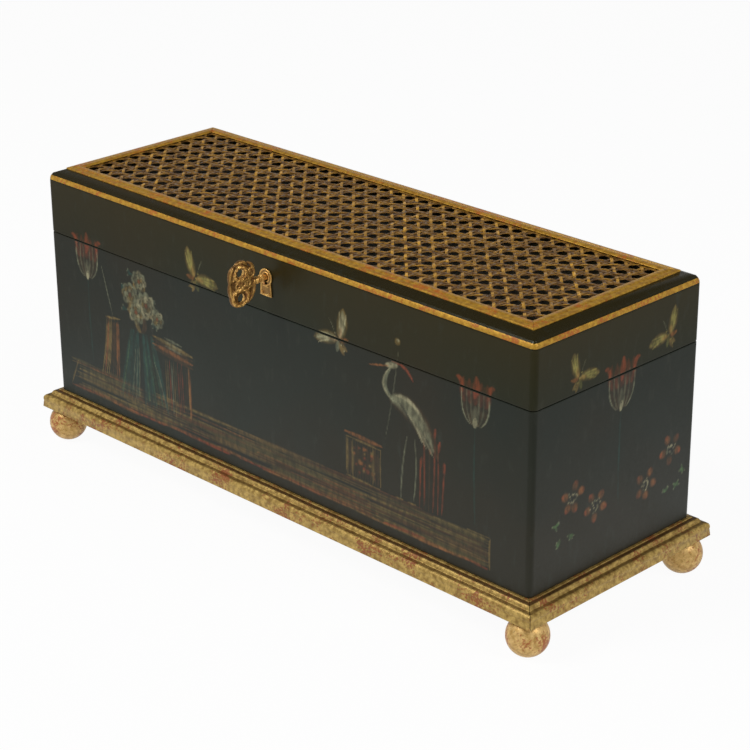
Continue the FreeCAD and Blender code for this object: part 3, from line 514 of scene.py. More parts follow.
def cut_away(piece, shapes):
    """Cut shapes out of a piece, and keep only the result."""
    for shape in shapes:
        tool = as_object(shape, "cutter")
        knife = piece.modifiers.new("cut", "BOOLEAN")
        knife.object = tool
        result = carried_out(piece)
        piece.modifiers.remove(knife)
        old = piece.data
        piece.data = result
        result.name = old.name + "_cut"
        for mesh in (old, tool.data):
            bpy.data.meshes.remove(mesh)


ALONG_KEY = Matrix.Rotation(math.pi / 2, 4, "X")
KEYHOLE = 2.5 * MM
SLOT_WIDTH = 2.4 * MM
SLOT_DROP = 5.4 * MM


def rod(bm, radius, length, place, segments=24):
    """A round bar, put in its place by a matrix."""
    bmesh.ops.create_cone(bm, cap_ends=True, segments=segments, radius1=radius, radius2=radius,
                          depth=length, matrix=place)


def keyhole_cutters():
    """The round hole for the key's shank, and the slot under it for the bit."""
    shank_hole = bmesh.new()
    rod(shank_hole, KEYHOLE, 4 * WALL, Matrix.Translation((0, FRONT, KEY_HEIGHT)) @ ALONG_KEY)
    low = Vector((-SLOT_WIDTH / 2, FRONT - WALL, KEY_HEIGHT - SLOT_DROP))
    high = Vector((SLOT_WIDTH / 2, FRONT + 2 * WALL, KEY_HEIGHT))
    return [shank_hole, cutter(low, high)]


ROOM = Vector((0.1, 0.1, 0.1)) * MM
LEAF_DEPTH = 1.5 * MM
for hand in ("left", "right"):
    low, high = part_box(f"hinge_{hand}_case_leaf")
    cut_away(case_walls, [cutter(Vector((low.x, low.y, SEAM - LEAF_DEPTH)) - ROOM, high + ROOM)])
    low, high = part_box(f"hinge_{hand}_lid_leaf")
    cut_away(lid_walls, [cutter(low - ROOM, Vector((high.x, high.y, LID_RIM + LEAF_DEPTH)) + ROOM)])
cut_away(lid_walls, keyhole_cutters())
for walls in (case_walls, lid_walls):
    even_shading(walls)
    print(f"{walls.name}: {len(walls.data.polygons)} faces after cutting")

# %% [markdown]
# ## Base moulding
# Four strips of moulded wood are mitred at the corners: a ledge, a bead, a broad nose and an upright
# face. Each strip is drawn as a flat section whose corners are rounded, pushed out along the box, and
# its ends are sheared to 45 degrees, as a mitre saw would cut them. The leaf doesn't reach into the
# mitres, so the cut ends, the only faces with more than four corners, get a second, dark finish.

# %% A helper for mitred strips
def mitred_strip(section, side, gap=0.06 * MM):
    """A strip for one side. section holds (outwards from the wall's face, height, rounding) in mm."""
    lengthwise = side in ("front", "back")
    run = HALF_LENGTH if lengthwise else HALF_DEPTH
    wall_face = HALF_DEPTH if lengthwise else HALF_LENGTH
    bm = bmesh.new()
    corners = [bm.verts.new((0, -wall_face - out * MM, height * MM)) for out, height, _ in section]
    bm.faces.new(corners)
    for corner, (_, _, rounding) in zip(corners, section):
        if rounding:
            bmesh.ops.bevel(bm, geom=[corner], offset=rounding * MM, segments=6, profile=0.5,
                            affect="VERTICES", material=-1)
    grown = bmesh.ops.extrude_face_region(bm, geom=bm.faces[:])["geom"]
    for v in bm.verts:
        v.co.x = -(run - v.co.y - wall_face) + gap
    for v in verts_in(grown):
        v.co.x = run - v.co.y - wall_face - gap
    for face in bm.faces:
        face.material_index = int(len(face.verts) > 4)
    turn_to(bm, side)
    return bm


def turn_to(bm, side):
    """Turn what was made for the front to its own side of the box."""
    turn = Matrix.Rotation(math.radians(90 * SIDES.index(side)), 3, "Z")
    bmesh.ops.rotate(bm, cent=(0, 0, 0), matrix=turn, verts=bm.verts)
    bmesh.ops.translate(bm, vec=(0, MIDDLE, 0), verts=bm.verts)


def soften(piece, width):
    """Round the sharp edges a little, as handling and gilding do."""
    bevel = piece.modifiers.new("soft_edges", "BEVEL")
    bevel.width = width
    bevel.segments = 2
    bevel.limit_method = "ANGLE"
    bevel.angle_limit = math.radians(32)
    bevel.harden_normals = False


print("strips are mitred for", ", ".join(SIDES))

# %% [markdown]
# The section of the base is read from its top down, in millimetres. Outwards is away from the wall's
# face, and the strips reach under the walls, which stand on them. The bead and the nose are corners
# with a generous rounding. The wood has shrunk a little, so the mitres stand open by a hair.

# %% Make the base moulding
OPEN_MITRE = 0.25 * MM
BASE_EASE = 0.2 * MM
top = 1000 * BASE_TOP
BASE_SECTION = [
    (-22, top, 0), (1.6, top, 0.4), (1.6, top - 1.0, 0), (2.4, top - 1.0, 0),
    (5.4, top - 1.0, 2.3), (5.6, top - 4.0, 0.6), (7.0, top - 4.3, 0),
    (10.4, top - 4.5, 3.0), (10.4, top - 8.6, 0.5), (10.2, top - 9.0, 0),
    (10.8, top - 14.5, 0.5), (-22, top - 14.5, 0),
]
for side in SIDES:
    moulding = finish_piece(mitred_strip(BASE_SECTION, side, OPEN_MITRE), f"gilt_base_{side}", "case",
                            [base_gilt, inside_lacquer], [f"base_moulding_{side}"])
    soften(moulding, BASE_EASE)

# %% [markdown]
# ## Ball feet
# The feet are balls turned on a lathe, flat where they stand and where they meet the base. A lathe
# would spin a profile, but a ball needs none: a sphere is cut by two planes and the cuts are filled.

# %% Make the feet
BALL = 14.5 * MM
FOOT_FLAT = 0.5 * MM


def trim(bm, place, normal):
    """Cut away what lies beyond a plane, and give back the edges of the cut."""
    cut = bmesh.ops.bisect_plane(bm, geom=bm.verts[:] + bm.edges[:] + bm.faces[:], plane_co=place,
                                 plane_no=normal, clear_outer=True)
    return edges_in(cut["geom_cut"])


for corner_name in ("front_left", "front_right", "back_left", "back_right"):
    low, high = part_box("foot_" + corner_name)
    axis = (low + high) / 2
    ball = bmesh.new()
    bmesh.ops.create_uvsphere(ball, u_segments=56, v_segments=36, radius=BALL)
    bmesh.ops.translate(ball, vec=(axis.x, axis.y, BALL - FOOT_FLAT), verts=ball.verts)
    for plane, normal in ((low.z, -1), (BASE_BOTTOM, 1)):
        bmesh.ops.edgeloop_fill(ball, edges=trim(ball, (0, 0, plane), (0, 0, normal)))
    finish_piece(ball, "gilt_foot_" + corner_name, "case", [foot_gilt], ["foot_" + corner_name])

# %% [markdown]
# ## Lid moulding and cane frame
# The lid's top edge is a gilt arris, above it a black band slopes up to the frame of the cane. Both
# run round in one swept ring. The arris is part of a circle, worked out from how far it leans in and how
# high it rises. The leaf covers its middle steps, and the finish changes where the leaf ends.

# %% Make the lid moulding
ARRIS_STEPS = 8
GILT_STEPS = range(1, 6)
ARRIS_LEAN = 2.3
ARRIS_RISE = 4.8
BAND_LIP = ((0.1 * MM, 0.2 * MM), (0.5 * MM, 0.35 * MM))
BAND_INNER = 10.1 * MM
BAND_TOP = LID_TOP + 8.0 * MM
REBATE = LID_TOP + 6.8 * MM
REBATE_INNER = 19.5 * MM
arris_radius = (ARRIS_LEAN ** 2 + ARRIS_RISE ** 2) / (2 * ARRIS_LEAN)
arris_sweep = math.asin(ARRIS_RISE / arris_radius)
arris = []
for step in range(ARRIS_STEPS + 1):
    angle = arris_sweep * step / ARRIS_STEPS
    lean = arris_radius * (1 - math.cos(angle)) * MM
    arris.append((lean, LID_TOP + arris_radius * math.sin(angle) * MM, int(step not in GILT_STEPS)))
inset, shoulder, _ = arris[-1]
band = [(inset + inwards, shoulder + up, 1) for inwards, up in BAND_LIP] + [
    (BAND_INNER, BAND_TOP, 1), (BAND_INNER, REBATE, 1),
    (REBATE_INNER, REBATE, 1), (REBATE_INNER, LID_TOP, 1),
]
lid_edge = finish_piece(swept_ring(arris + band), "lid_moulding", "lid", [lid_gilt, band_lacquer],
                        [f"lid_moulding_{side}" for side in SIDES])
even_shading(lid_edge)

# %% [markdown]
# The frame on top is mitred gilt strip again: a flat outer step and a rounded bead that holds the cane
# down. It could have been swept with the rest, but its mitres show on the real lid, so it is made of
# four strips with the same helper as the base.

# %% Make the cane frame
FRAME_EASE = 0.12 * MM
seat = 1000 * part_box("cane_frame_front")[0].z
FRAME_SECTION = [
    (-10.1, seat, 0), (-10.1, seat + 2.2, 0.4), (-13.1, seat + 2.7, 0.3), (-13.3, seat + 2.3, 0),
    (-13.6, seat + 2.4, 0), (-14.9, seat + 3.15, 0.8), (-17.6, seat + 3.15, 0.9),
    (-19.5, seat + 2.3, 0.4), (-19.5, seat + 1.8, 0), (-14.5, seat + 1.8, 0), (-14.5, seat, 0),
]
for side in SIDES:
    strip = finish_piece(mitred_strip(FRAME_SECTION, side), f"gilt_frame_{side}", "lid",
                         [lid_gilt, inside_lacquer], [f"cane_frame_{side}"])
    soften(strip, FRAME_EASE)

# %% [markdown]
# ## Cane
# Split cane is brown, with a hard gloss. Each strand has its own tone, kept as an attribute, and one
# set of diagonals is paler gold as a painted highlight. Stains darken it, and painted shade darkens it
# where the weave dips.

# %% Mix the cane finish
panel_low, panel_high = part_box("cane_panel")
PANEL_MIDDLE = (panel_low.z + panel_high.z) / 2


def cane_finish():
    cane = Finish("woven_cane", Specular_IOR_Level=0.18)
    # tones run from dark brown to gold; the gold end is the painted highlight of one set of diagonals
    tone = cane.mix(cane.attribute("strand", "Fac"), (0.11, 0.044, 0.008), (0.66, 0.345, 0.038))
    stain = cane.span(cane.noise(230.0, 6.0), 0.44, 0.62, 0.0, 0.8)
    tone = cane.mix(stain, tone, (0.075, 0.034, 0.011))
    # painted shade: darker where the weave dips below the panel's middle
    low = cane.span(cane.along("Z"), PANEL_MIDDLE - 0.4 * MM, PANEL_MIDDLE + 0.5 * MM, 0.92, 0.0)
    tone = cane.mix(low, tone, (0.03, 0.014, 0.007))
    cane.bump(cane.noise(1400.0, 3.0), 0.00015, 0.6)
    rough = cane.span(cane.noise(420.0, 4.0), 0.36, 0.58, 0.12, 0.6)
    return cane.feed(Base_Color=tone, Roughness=rough)


woven_cane = cane_finish()
print("cane finish:", woven_cane.name)

# %% [markdown]
# A strand is a flat strip with a rounded top. It is cut into short lengths so that it can be bent, and
# a copy of it is laid wherever the weave needs one. Hundreds of strands could be separate objects, but
# one mesh for each layer is easier to keep together.

# %% A helper for strands
PITCH = 12.7 * MM
PAIR = 1.4 * MM
STRAND_WIDTH = 2.3 * MM
GOLD_WIDTH = 2.1 * MM
BROWN_WIDTH = 1.7 * MM
STRAND_THICK = 0.36 * MM
PAIR_WAVE = 0.2 * MM
DIAGONAL_WAVE = 0.5 * MM
SWAY = 0.22 * MM
SWAY_LENGTH = 7 * MM
FRAME_COVER = 18 * MM
OPENING = Vector((HALF_LENGTH - FRAME_COVER, HALF_DEPTH - FRAME_COVER))
SEED = 7
rng = random.Random(SEED)


def flat_strand(length, width, step):
    """A strand along X with a rounded top, cut into short lengths so that it can be bent."""
    def runs():
        return [e for e in bm.edges if abs(e.verts[0].co.x - e.verts[1].co.x) > 0.5 * length]

    bm = bmesh.new()
    bmesh.ops.create_cube(bm, size=1)
    bmesh.ops.scale(bm, vec=(length, width, STRAND_THICK), verts=bm.verts)
    bmesh.ops.bevel(bm, geom=[e for e in runs() if e.verts[0].co.z > 0], offset=0.7 * STRAND_THICK,
                    segments=2, profile=0.5, affect="EDGES", material=-1)
    bmesh.ops.subdivide_edges(bm, edges=runs(), cuts=max(2, round(length / step)), use_grid_fill=True)
    return bm


def lay(weave, strand, wave, turn, place, tones):
    """Add a bent, slightly swaying copy of a strand to the weave, turned and put in its place."""
    mesh = bpy.data.meshes.new("strand")
    strand.to_mesh(mesh)
    first = len(weave.verts)
    weave.from_mesh(mesh)
    bpy.data.meshes.remove(mesh)
    weave.verts.ensure_lookup_table()
    shade = weave.verts.layers.float["strand"]
    tone = rng.uniform(*tones)
    aside = rng.uniform(-SWAY, SWAY)
    phase = rng.uniform(0, 2 * math.pi)
    spin = Matrix.Rotation(turn, 2)
    for v in weave.verts[first:]:
        v.co.y += aside + SWAY * math.sin(v.co.x / SWAY_LENGTH + phase)
        v.co.xy = spin @ v.co.xy + place
        v.co.z += PANEL_MIDDLE + wave(v.co.x, v.co.y)
        v[shade] = tone


def new_weave():
    bm = bmesh.new()
    bm.verts.layers.float.new("strand")
    return bm


print(f"strands {1000 * BROWN_WIDTH:.2f} to {1000 * GOLD_WIDTH:.2f} mm wide")

# %% [markdown]
# The panel is six-way cane: pairs of strands along and across the lid, woven over and under each
# other, and single strands on both diagonals that lie over one way's pairs and under the other's.
# What is left open are rows of eight-sided holes half an inch apart. The diagonals that run to the
# front right corner lie over the pairs across the lid and are painted paler gold as a highlight, the
# others lie over the pairs along it. All of them are trimmed at the frame.

# %% Weave the cane
ALONG_TONES = (0.08, 0.42)
ACROSS_TONES = (0.12, 0.5)
# paler tones for the diagonals toward the front right corner: a painted highlight
HIGHLIT_TONES = (0.5, 1.0)
BROWN_TONES = (0.2, 0.55)
STEEPNESS = 3


def over_under(along):
    """Steep wave that changes sides at every pair."""
    return math.tanh(STEEPNESS * math.sin(math.pi * along / PITCH))


pairs = new_weave()
along_strand = flat_strand(2 * OPENING.x, STRAND_WIDTH, PITCH / 4)
across_strand = flat_strand(2 * OPENING.y, STRAND_WIDTH, PITCH / 4)
rows = int(OPENING.y // PITCH)
columns = int(OPENING.x // PITCH) + 1
for j in range(-rows, rows + 1):
    for hand in (-1, 1):
        sign = hand * (-1) ** j * PAIR_WAVE
        lay(pairs, along_strand, lambda x, y: sign * over_under(x - PITCH / 2), 0,
            Vector((0, j * PITCH + hand * PAIR)), ALONG_TONES)
for i in range(-columns, columns):
    for hand in (-1, 1):
        sign = -hand * (-1) ** i * PAIR_WAVE
        lay(pairs, across_strand, lambda x, y: sign * over_under(y), math.pi / 2,
            Vector(((i + 0.5) * PITCH + hand * PAIR, 0)), ACROSS_TONES)
diagonals = new_weave()
slant_length = 2 * math.sqrt(2) * OPENING.y
highlit_strand = flat_strand(slant_length, GOLD_WIDTH, PITCH / 3)
brown_strand = flat_strand(slant_length, BROWN_WIDTH, PITCH / 3)
last = round((OPENING.x + OPENING.y) / PITCH)
for k in range(-last, last + 1):
    # one way of diagonals carries the painted highlight, the other keeps the cane's brown
    for way, slant, tones in ((-1, highlit_strand, HIGHLIT_TONES), (1, brown_strand, BROWN_TONES)):
        lay(diagonals, slant, lambda x, y: way * DIAGONAL_WAVE * math.cos(2 * math.pi * x / PITCH),
            way * math.pi / 4, Vector((k * PITCH, 0)), tones)
for strand in (along_strand, across_strand, highlit_strand, brown_strand):
    strand.free()
for hand in (-1, 1):
    bmesh.ops.holes_fill(diagonals, edges=trim(diagonals, (hand * OPENING.x, 0, 0), (hand, 0, 0)))
for weave in (pairs, diagonals):
    bmesh.ops.translate(weave, vec=(0, MIDDLE, 0), verts=weave.verts)
finish_piece(pairs, "cane_pairs", "lid", [woven_cane], ["cane_panel"], sharp=60)
finish_piece(diagonals, "cane_diagonals", "lid", [woven_cane], sharp=60)

# %% [markdown]
# ## Key and escutcheon
# The key's bow is a cast tangle of scrolls. Carving it from a plate would leave flat faces, so it is
# built like a wax model: rings of wire, leaves that are balls squashed and bent along a curve, and a
# thin web between them are melted into one skin.

# %% Helpers for wax models
def leaf(bm, path, width, depth, rings=12):
    """Squash a ball and bend it along a curve of three (right, up) points in mm. Y is its depth."""
    start, bend, end = (Vector(point) for point in path)
    made = bmesh.ops.create_uvsphere(bm, u_segments=10, v_segments=rings, radius=1)["verts"]
    for v in made:
        share = (v.co.z + 1) / 2
        spot = (1 - share) ** 2 * start + 2 * share * (1 - share) * bend + share ** 2 * end
        way = (1 - share) * (bend - start) + share * (end - bend)
        edge = Vector((-way.y, way.x)).normalized() * v.co.x * width / 2
        v.co = Vector((spot.x + edge.x, v.co.y * depth / 2, spot.y + edge.y)) * MM
    return made


def wire_ring(bm, centre, radius, wire, squeeze=1.0):
    """A ring of round wire around a (right, up) point in mm."""
    right, up = centre
    before = set(bm.verts)
    start = Matrix.Translation(Vector((right + radius, 0, up)) * MM)
    loop = bmesh.ops.create_circle(bm, segments=12, radius=wire * MM, matrix=start)["verts"]
    edges = list({e for v in loop for e in v.link_edges})
    middle = Vector((right, 0, up)) * MM
    bmesh.ops.spin(bm, geom=loop + edges, cent=middle, axis=(0, 1, 0), angle=2 * math.pi, steps=40,
                   use_merge=True)
    made = [v for v in bm.verts if v not in before]
    bmesh.ops.scale(bm, vec=(squeeze, 1, 1), space=Matrix.Translation(-middle), verts=made)
    return made


def poured(bm, grain, passes):
    """Melt overlapping shapes into one skin, as wax models melt together before casting."""
    wax = as_object(bm, "wax")
    melt = wax.modifiers.new("melt", "REMESH")
    melt.mode = "VOXEL"
    melt.voxel_size = grain
    skin = carried_out(wax)
    cast = bmesh.new()
    cast.from_mesh(skin)
    for _ in range(passes):
        bmesh.ops.smooth_vert(cast, verts=cast.verts, factor=0.5, use_axis_x=True, use_axis_y=True,
                              use_axis_z=True)
    for mesh in (wax.data, skin):
        bpy.data.meshes.remove(mesh)
    return cast


print("wax: leaves, wire rings and melting")

# %% [markdown]
# The bow is a plate of scrolls with a lobed edge, pierced by two loops to hang it from, and small leaves
# curl round both loops. It is modelled flat, measured in millimetres outwards from the shank, and then
# turned to stand upright in line with it.

# %% Model the bow
BOW_DEPTH = 24.7
BOW_SCALE = (0.93, 1.25, 0.94)
key_low, key_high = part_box("key")
bow_start = key_low.y + BOW_DEPTH * MM
BOW_RINGS = (
    ((15.2, 9.4), 5.2, 1.4, 1.05), ((15.4, -8.6), 6.2, 1.5, 1.2), ((22.6, 7.4), 2.5, 1.1, 1.0),
    ((5.0, 7.6), 3.3, 1.2, 1.0), ((4.6, -5.6), 2.9, 1.1, 1.0), ((23.4, -2.6), 1.9, 0.9, 1.0),
    ((10.4, -12.2), 1.7, 0.8, 1.0), ((20.6, -12.0), 1.7, 0.8, 1.0), ((5.0, 7.6), 1.2, 0.9, 1.0),
    ((7.2, 0.4), 1.8, 1.2, 1.0), ((12.2, 0.7), 1.9, 1.2, 1.0), ((17.4, 0.3), 1.9, 1.2, 1.0),
)
BOW_LEAVES = (
    (((20.0, 16.0), (26.2, 12.5), (24.4, 1.5)), 3.2), (((24.4, 5.0), (26.2, -3.0), (21.5, -12.0)), 3.0),
    (((7.5, 13.0), (12.5, 20.6), (21.0, 15.0)), 3.4), (((9.0, 16.3), (0.8, 14.5), (2.0, 3.0)), 3.0),
    (((1.6, 1.5), (0.6, -9.0), (8.4, -15.0)), 3.0), (((2.0, 2.6), (11.0, 4.2), (23.0, 2.4)), 2.3),
    (((2.5, -3.0), (10.0, -0.4), (21.5, -2.4)), 2.2), (((20.6, 3.6), (21.8, 8.0), (20.6, 13.8)), 2.0),
    (((9.3, 4.0), (8.0, 9.0), (9.6, 14.0)), 2.2), (((11.0, -13.0), (15.4, -15.0), (20.0, -13.0)), 2.0),
    (((9.4, -5.4), (8.6, -9.0), (10.6, -12.4)), 1.8), (((21.4, -5.4), (22.2, -9.0), (20.2, -12.4)), 1.8),
    (((11.0, -4.8), (15.4, -3.2), (19.8, -4.8)), 1.9), (((12.0, 13.6), (15.2, 15.4), (18.4, 13.6)), 1.8),
    (((1.6, 10.5), (4.6, 12.0), (8.2, 10.6)), 1.7),
)
BOW_WEB = ((13.2, 0.9), (11.8, 15.4))
LOOPS = ((13.7, 8.75), (13.7, -8.75))
LOOP_RADIUS = 3.0 * MM
CURLS = 9
CURL_PATH = ((0.74, -0.25), (1.0, 0.0), (1.2, 0.55))
CURL_WIDTH = 1.9
CURL_DEPTH = 4.0
SCROLL_DEPTH = 2.7
WEB_DEPTH = 1.6
bow = bmesh.new()
for centre, radius, wire, squeeze in BOW_RINGS:
    wire_ring(bow, centre, radius, wire, squeeze)
for path, width in BOW_LEAVES:
    leaf(bow, path, width, SCROLL_DEPTH)
for (right, up), radius, _, squeeze in BOW_RINGS[:2]:
    for curl in range(CURLS):
        turn = 2 * math.pi * curl / CURLS
        path = [(right + squeeze * reach * radius * math.cos(turn + swing),
                 up + reach * radius * math.sin(turn + swing)) for reach, swing in CURL_PATH]
        leaf(bow, path, CURL_WIDTH, CURL_DEPTH)
(right, up), (half_width, half_height) = BOW_WEB
leaf(bow, ((right, up - half_height), (right, up), (right, up + half_height)), 2 * half_width, WEB_DEPTH)
bmesh.ops.scale(bow, vec=BOW_SCALE, verts=bow.verts)
bmesh.ops.rotate(bow, cent=(0, 0, 0), matrix=Matrix.Rotation(-math.pi / 2, 3, "Z"), verts=bow.verts)
bmesh.ops.translate(bow, vec=(0, bow_start, KEY_HEIGHT), verts=bow.verts)
print(f"bow: {len(BOW_RINGS)} rings and {len(BOW_LEAVES)} leaves on a web")

# %% [markdown]
# The shank, its collars and the bit are turned and filed work. They join the wax before it is melted,
# so the bow grows out of the shank without a seam. How near each point lies to the bow's middle plane is
# then kept as an attribute, for the dark tone in the hollows. The two loops are drilled last.

# %% Make the key
SHANK = 2 * MM
SHANK_ROOT = 3 * MM
COLLARS = ((0.9, 2.7, 0.7), (2.9, 2.3, 0.8), (4.9, 3.1, 0.3))
BIT_HALF, BIT_LENGTH, BIT_DROP = 0.9 * MM, 3 * MM, 5 * MM
KEY_GRAIN = 0.24 * MM
FACE_DEPTH = 1.2 * MM
MIDDLE_DARK = 1.45
DARKEST = 0.8
shank_start = bow_start - SHANK_ROOT
shank_length = key_high.y - shank_start
rod(bow, SHANK, shank_length,
    Matrix.Translation((0, shank_start + shank_length / 2, KEY_HEIGHT)) @ ALONG_KEY)
for back, radius, squash in COLLARS:
    place = Matrix.Translation((0, bow_start + back * MM, KEY_HEIGHT))
    bmesh.ops.create_uvsphere(bow, u_segments=20, v_segments=14, radius=radius * MM,
                              matrix=place @ Matrix.Diagonal((1, squash, 1, 1)))
bit_low = Vector((-BIT_HALF, key_high.y - BIT_LENGTH, KEY_HEIGHT - BIT_DROP))
bit_high = Vector((BIT_HALF, key_high.y, KEY_HEIGHT))
bmesh.ops.create_cube(bow, size=1, matrix=Matrix.Translation((bit_low + bit_high) / 2)
                      @ Matrix.Diagonal((bit_high - bit_low).to_4d()))
key_skin = poured(bow, KEY_GRAIN, 3)
hollow = key_skin.verts.layers.float.new("hollow")
for v in key_skin.verts:
    if v.co.y < bow_start:
        v[hollow] = min(max(MIDDLE_DARK - abs(v.co.x) / FACE_DEPTH, 0), DARKEST)
cast_key = finish_piece(key_skin, "cast_key", "key", [key_cast], ["key"], sharp=70)
drills = []
for right, up in LOOPS:
    place = Vector((0, bow_start - right * MM, KEY_HEIGHT + up * MM))
    drill = bmesh.new()
    rod(drill, LOOP_RADIUS, WALL, Matrix.Translation(place) @ Matrix.Rotation(math.pi / 2, 4, "Y"))
    drills.append(drill)
cut_away(cast_key, drills)
print(f"{len(LOOPS)} loops drilled, {len(cast_key.data.polygons)} faces")

# %% [markdown]
# The escutcheon is a thin plate, round above and widening like a little apron below. Its rims and the
# ring round the keyhole stand proud of the ground, which the caster left rough and red. The keyhole is
# cut through it with the same cutters as the lid.

# %% Make the escutcheon
PLATE_GROUND = 0.6 * MM
PLATE_RADIUS = 5.9 * MM
APRON_WIDTH = 9.2 * MM
APRON_HEIGHT = 13.4 * MM
APRON_FLARE = 1.2
PLATE_GRAIN = 0.18 * MM
RIM_PLACE = Vector((0, -PLATE_GROUND, 0))
RIM_RINGS = ((5.5, 0.6), (3.2, 0.55))
RIM_WIDTH = 1.4
RIM_HEIGHT = 1.15
RIM_DEPTH = 0.5 * MM
GROUND_DARK = 2.0
GROUND_DARKEST = 0.6
RIM_PATHS = (
    ((-4.4, -2.5), (-4.4, -8.0), (-5.3, -14.0)), ((4.4, -2.5), (4.4, -8.0), (5.3, -14.0)),
    ((-6.4, -13.2), (0.0, -13.0), (6.4, -13.2)), ((-3.6, -7.0), (0.0, -6.2), (3.6, -7.0)),
)
plate_low, plate_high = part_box("escutcheon")
plate = bmesh.new()
rod(plate, PLATE_RADIUS, PLATE_GROUND, Matrix.Translation(RIM_PLACE / 2) @ ALONG_KEY, segments=48)
apron = bmesh.ops.create_cube(plate, size=1)["verts"]
bmesh.ops.scale(plate, vec=(APRON_WIDTH, PLATE_GROUND, APRON_HEIGHT), verts=apron)
bmesh.ops.translate(plate, vec=RIM_PLACE / 2 + Vector((0, 0, -APRON_HEIGHT / 2)), verts=apron)
bmesh.ops.scale(plate, vec=(APRON_FLARE, 1, 1), verts=[v for v in apron if v.co.z < -APRON_HEIGHT / 2])
rims = []
for radius, wire in RIM_RINGS:
    rims += wire_ring(plate, (0, 0), radius, wire)
for path in RIM_PATHS:
    rims += leaf(plate, path, RIM_WIDTH, RIM_HEIGHT, rings=16)
bmesh.ops.translate(plate, vec=RIM_PLACE, verts=rims)
bmesh.ops.translate(plate, vec=(0, FRONT, KEY_HEIGHT), verts=plate.verts)
plate_skin = poured(plate, PLATE_GRAIN, 1)
ground = plate_skin.verts.layers.float.new("hollow")
for v in plate_skin.verts:
    v.co = Vector(np.clip(v.co, plate_low, plate_high))
    v[ground] = min(max((v.co.y - FRONT) / RIM_DEPTH + GROUND_DARK, 0), GROUND_DARKEST)
escutcheon = finish_piece(plate_skin, "cast_escutcheon", "lid", [key_cast], ["escutcheon"],
                          sharp=70)
cut_away(escutcheon, keyhole_cutters())

# %% [markdown]
# ## Painted decoration
# Such boxes are painted in thin oil colours over the lacquer: small scenes on a strip of floor, and
# tulips, butterflies and blossoms strewn around them. The design here is our own, of stock motifs. A
# picture file would end at its own pixels, and strokes of solid paint would look like inlay. So the
# painted faces get a film of lacquer that is a fine grid, and every point of it can hold a colour.

# %% Prime the films
GRAIN = 0.9 * MM
FILM = 0.03 * MM
SUNK = 0.02 * MM


def primed_film(name, side, body, left, right, low, high):
    """A film of lacquer on one side, between two edges and two heights."""
    bm = bmesh.new()
    width = right - left
    rise = high - low
    bmesh.ops.create_grid(bm, x_segments=round(width / GRAIN), y_segments=round(rise / GRAIN), size=0.5)
    bmesh.ops.scale(bm, vec=(width, rise, 1), verts=bm.verts)
    bmesh.ops.rotate(bm, cent=(0, 0, 0), matrix=Matrix.Rotation(math.pi / 2, 3, "X"), verts=bm.verts)
    rim = [e for e in bm.edges if e.is_boundary]
    grown = bmesh.ops.extrude_edge_only(bm, edges=rim)["geom"]
    bmesh.ops.translate(bm, vec=(0, FILM + SUNK, 0), verts=verts_in(grown))
    bmesh.ops.edgeloop_fill(bm, edges=edges_in(grown))
    face = HALF_DEPTH if side in ("front", "back") else HALF_LENGTH
    bmesh.ops.translate(bm, vec=((left + right) / 2, -face - FILM, (low + high) / 2), verts=bm.verts)
    turn_to(bm, side)
    finish = {"case": painted_lacquer, "lid": painted_lid_lacquer}[body]
    return finish_piece(bm, name, body, [finish])


LOCK_ROOM = 30 * MM
FILM_HEIGHTS = {
    "case": (BASE_TOP + SOFT_EDGE, SEAM - SOFT_EDGE),
    "lid": (LID_RIM + SOFT_EDGE, LID_TOP - SOFT_EDGE),
}
long_edge = HALF_LENGTH - CORNER
short_edge = HALF_DEPTH - CORNER
END_FILMS = (("case", "case", -short_edge, short_edge), ("lid", "lid", -short_edge, short_edge))
FRONT_FILMS = (
    ("case", "case", -long_edge, long_edge),
    ("lid_left", "lid", -long_edge, -LOCK_ROOM), ("lid_right", "lid", LOCK_ROOM, long_edge),
)
films = {}
for side, parts in (("front", FRONT_FILMS), ("right", END_FILMS), ("left", END_FILMS)):
    films[side] = [primed_film(f"film_{side}_{part}", side, body, left, right, *FILM_HEIGHTS[body])
                   for part, body, left, right in parts]
print("films on", ", ".join(films))

# %% [markdown]
# A stroke is thin at both ends and soft at its edges, and it covers what lies under it only as far as
# the brush was loaded. For every point near the stroke, the nearest place on its curve tells how deep
# the point lies inside the brush mark. numpy does this for thousands of points at once.

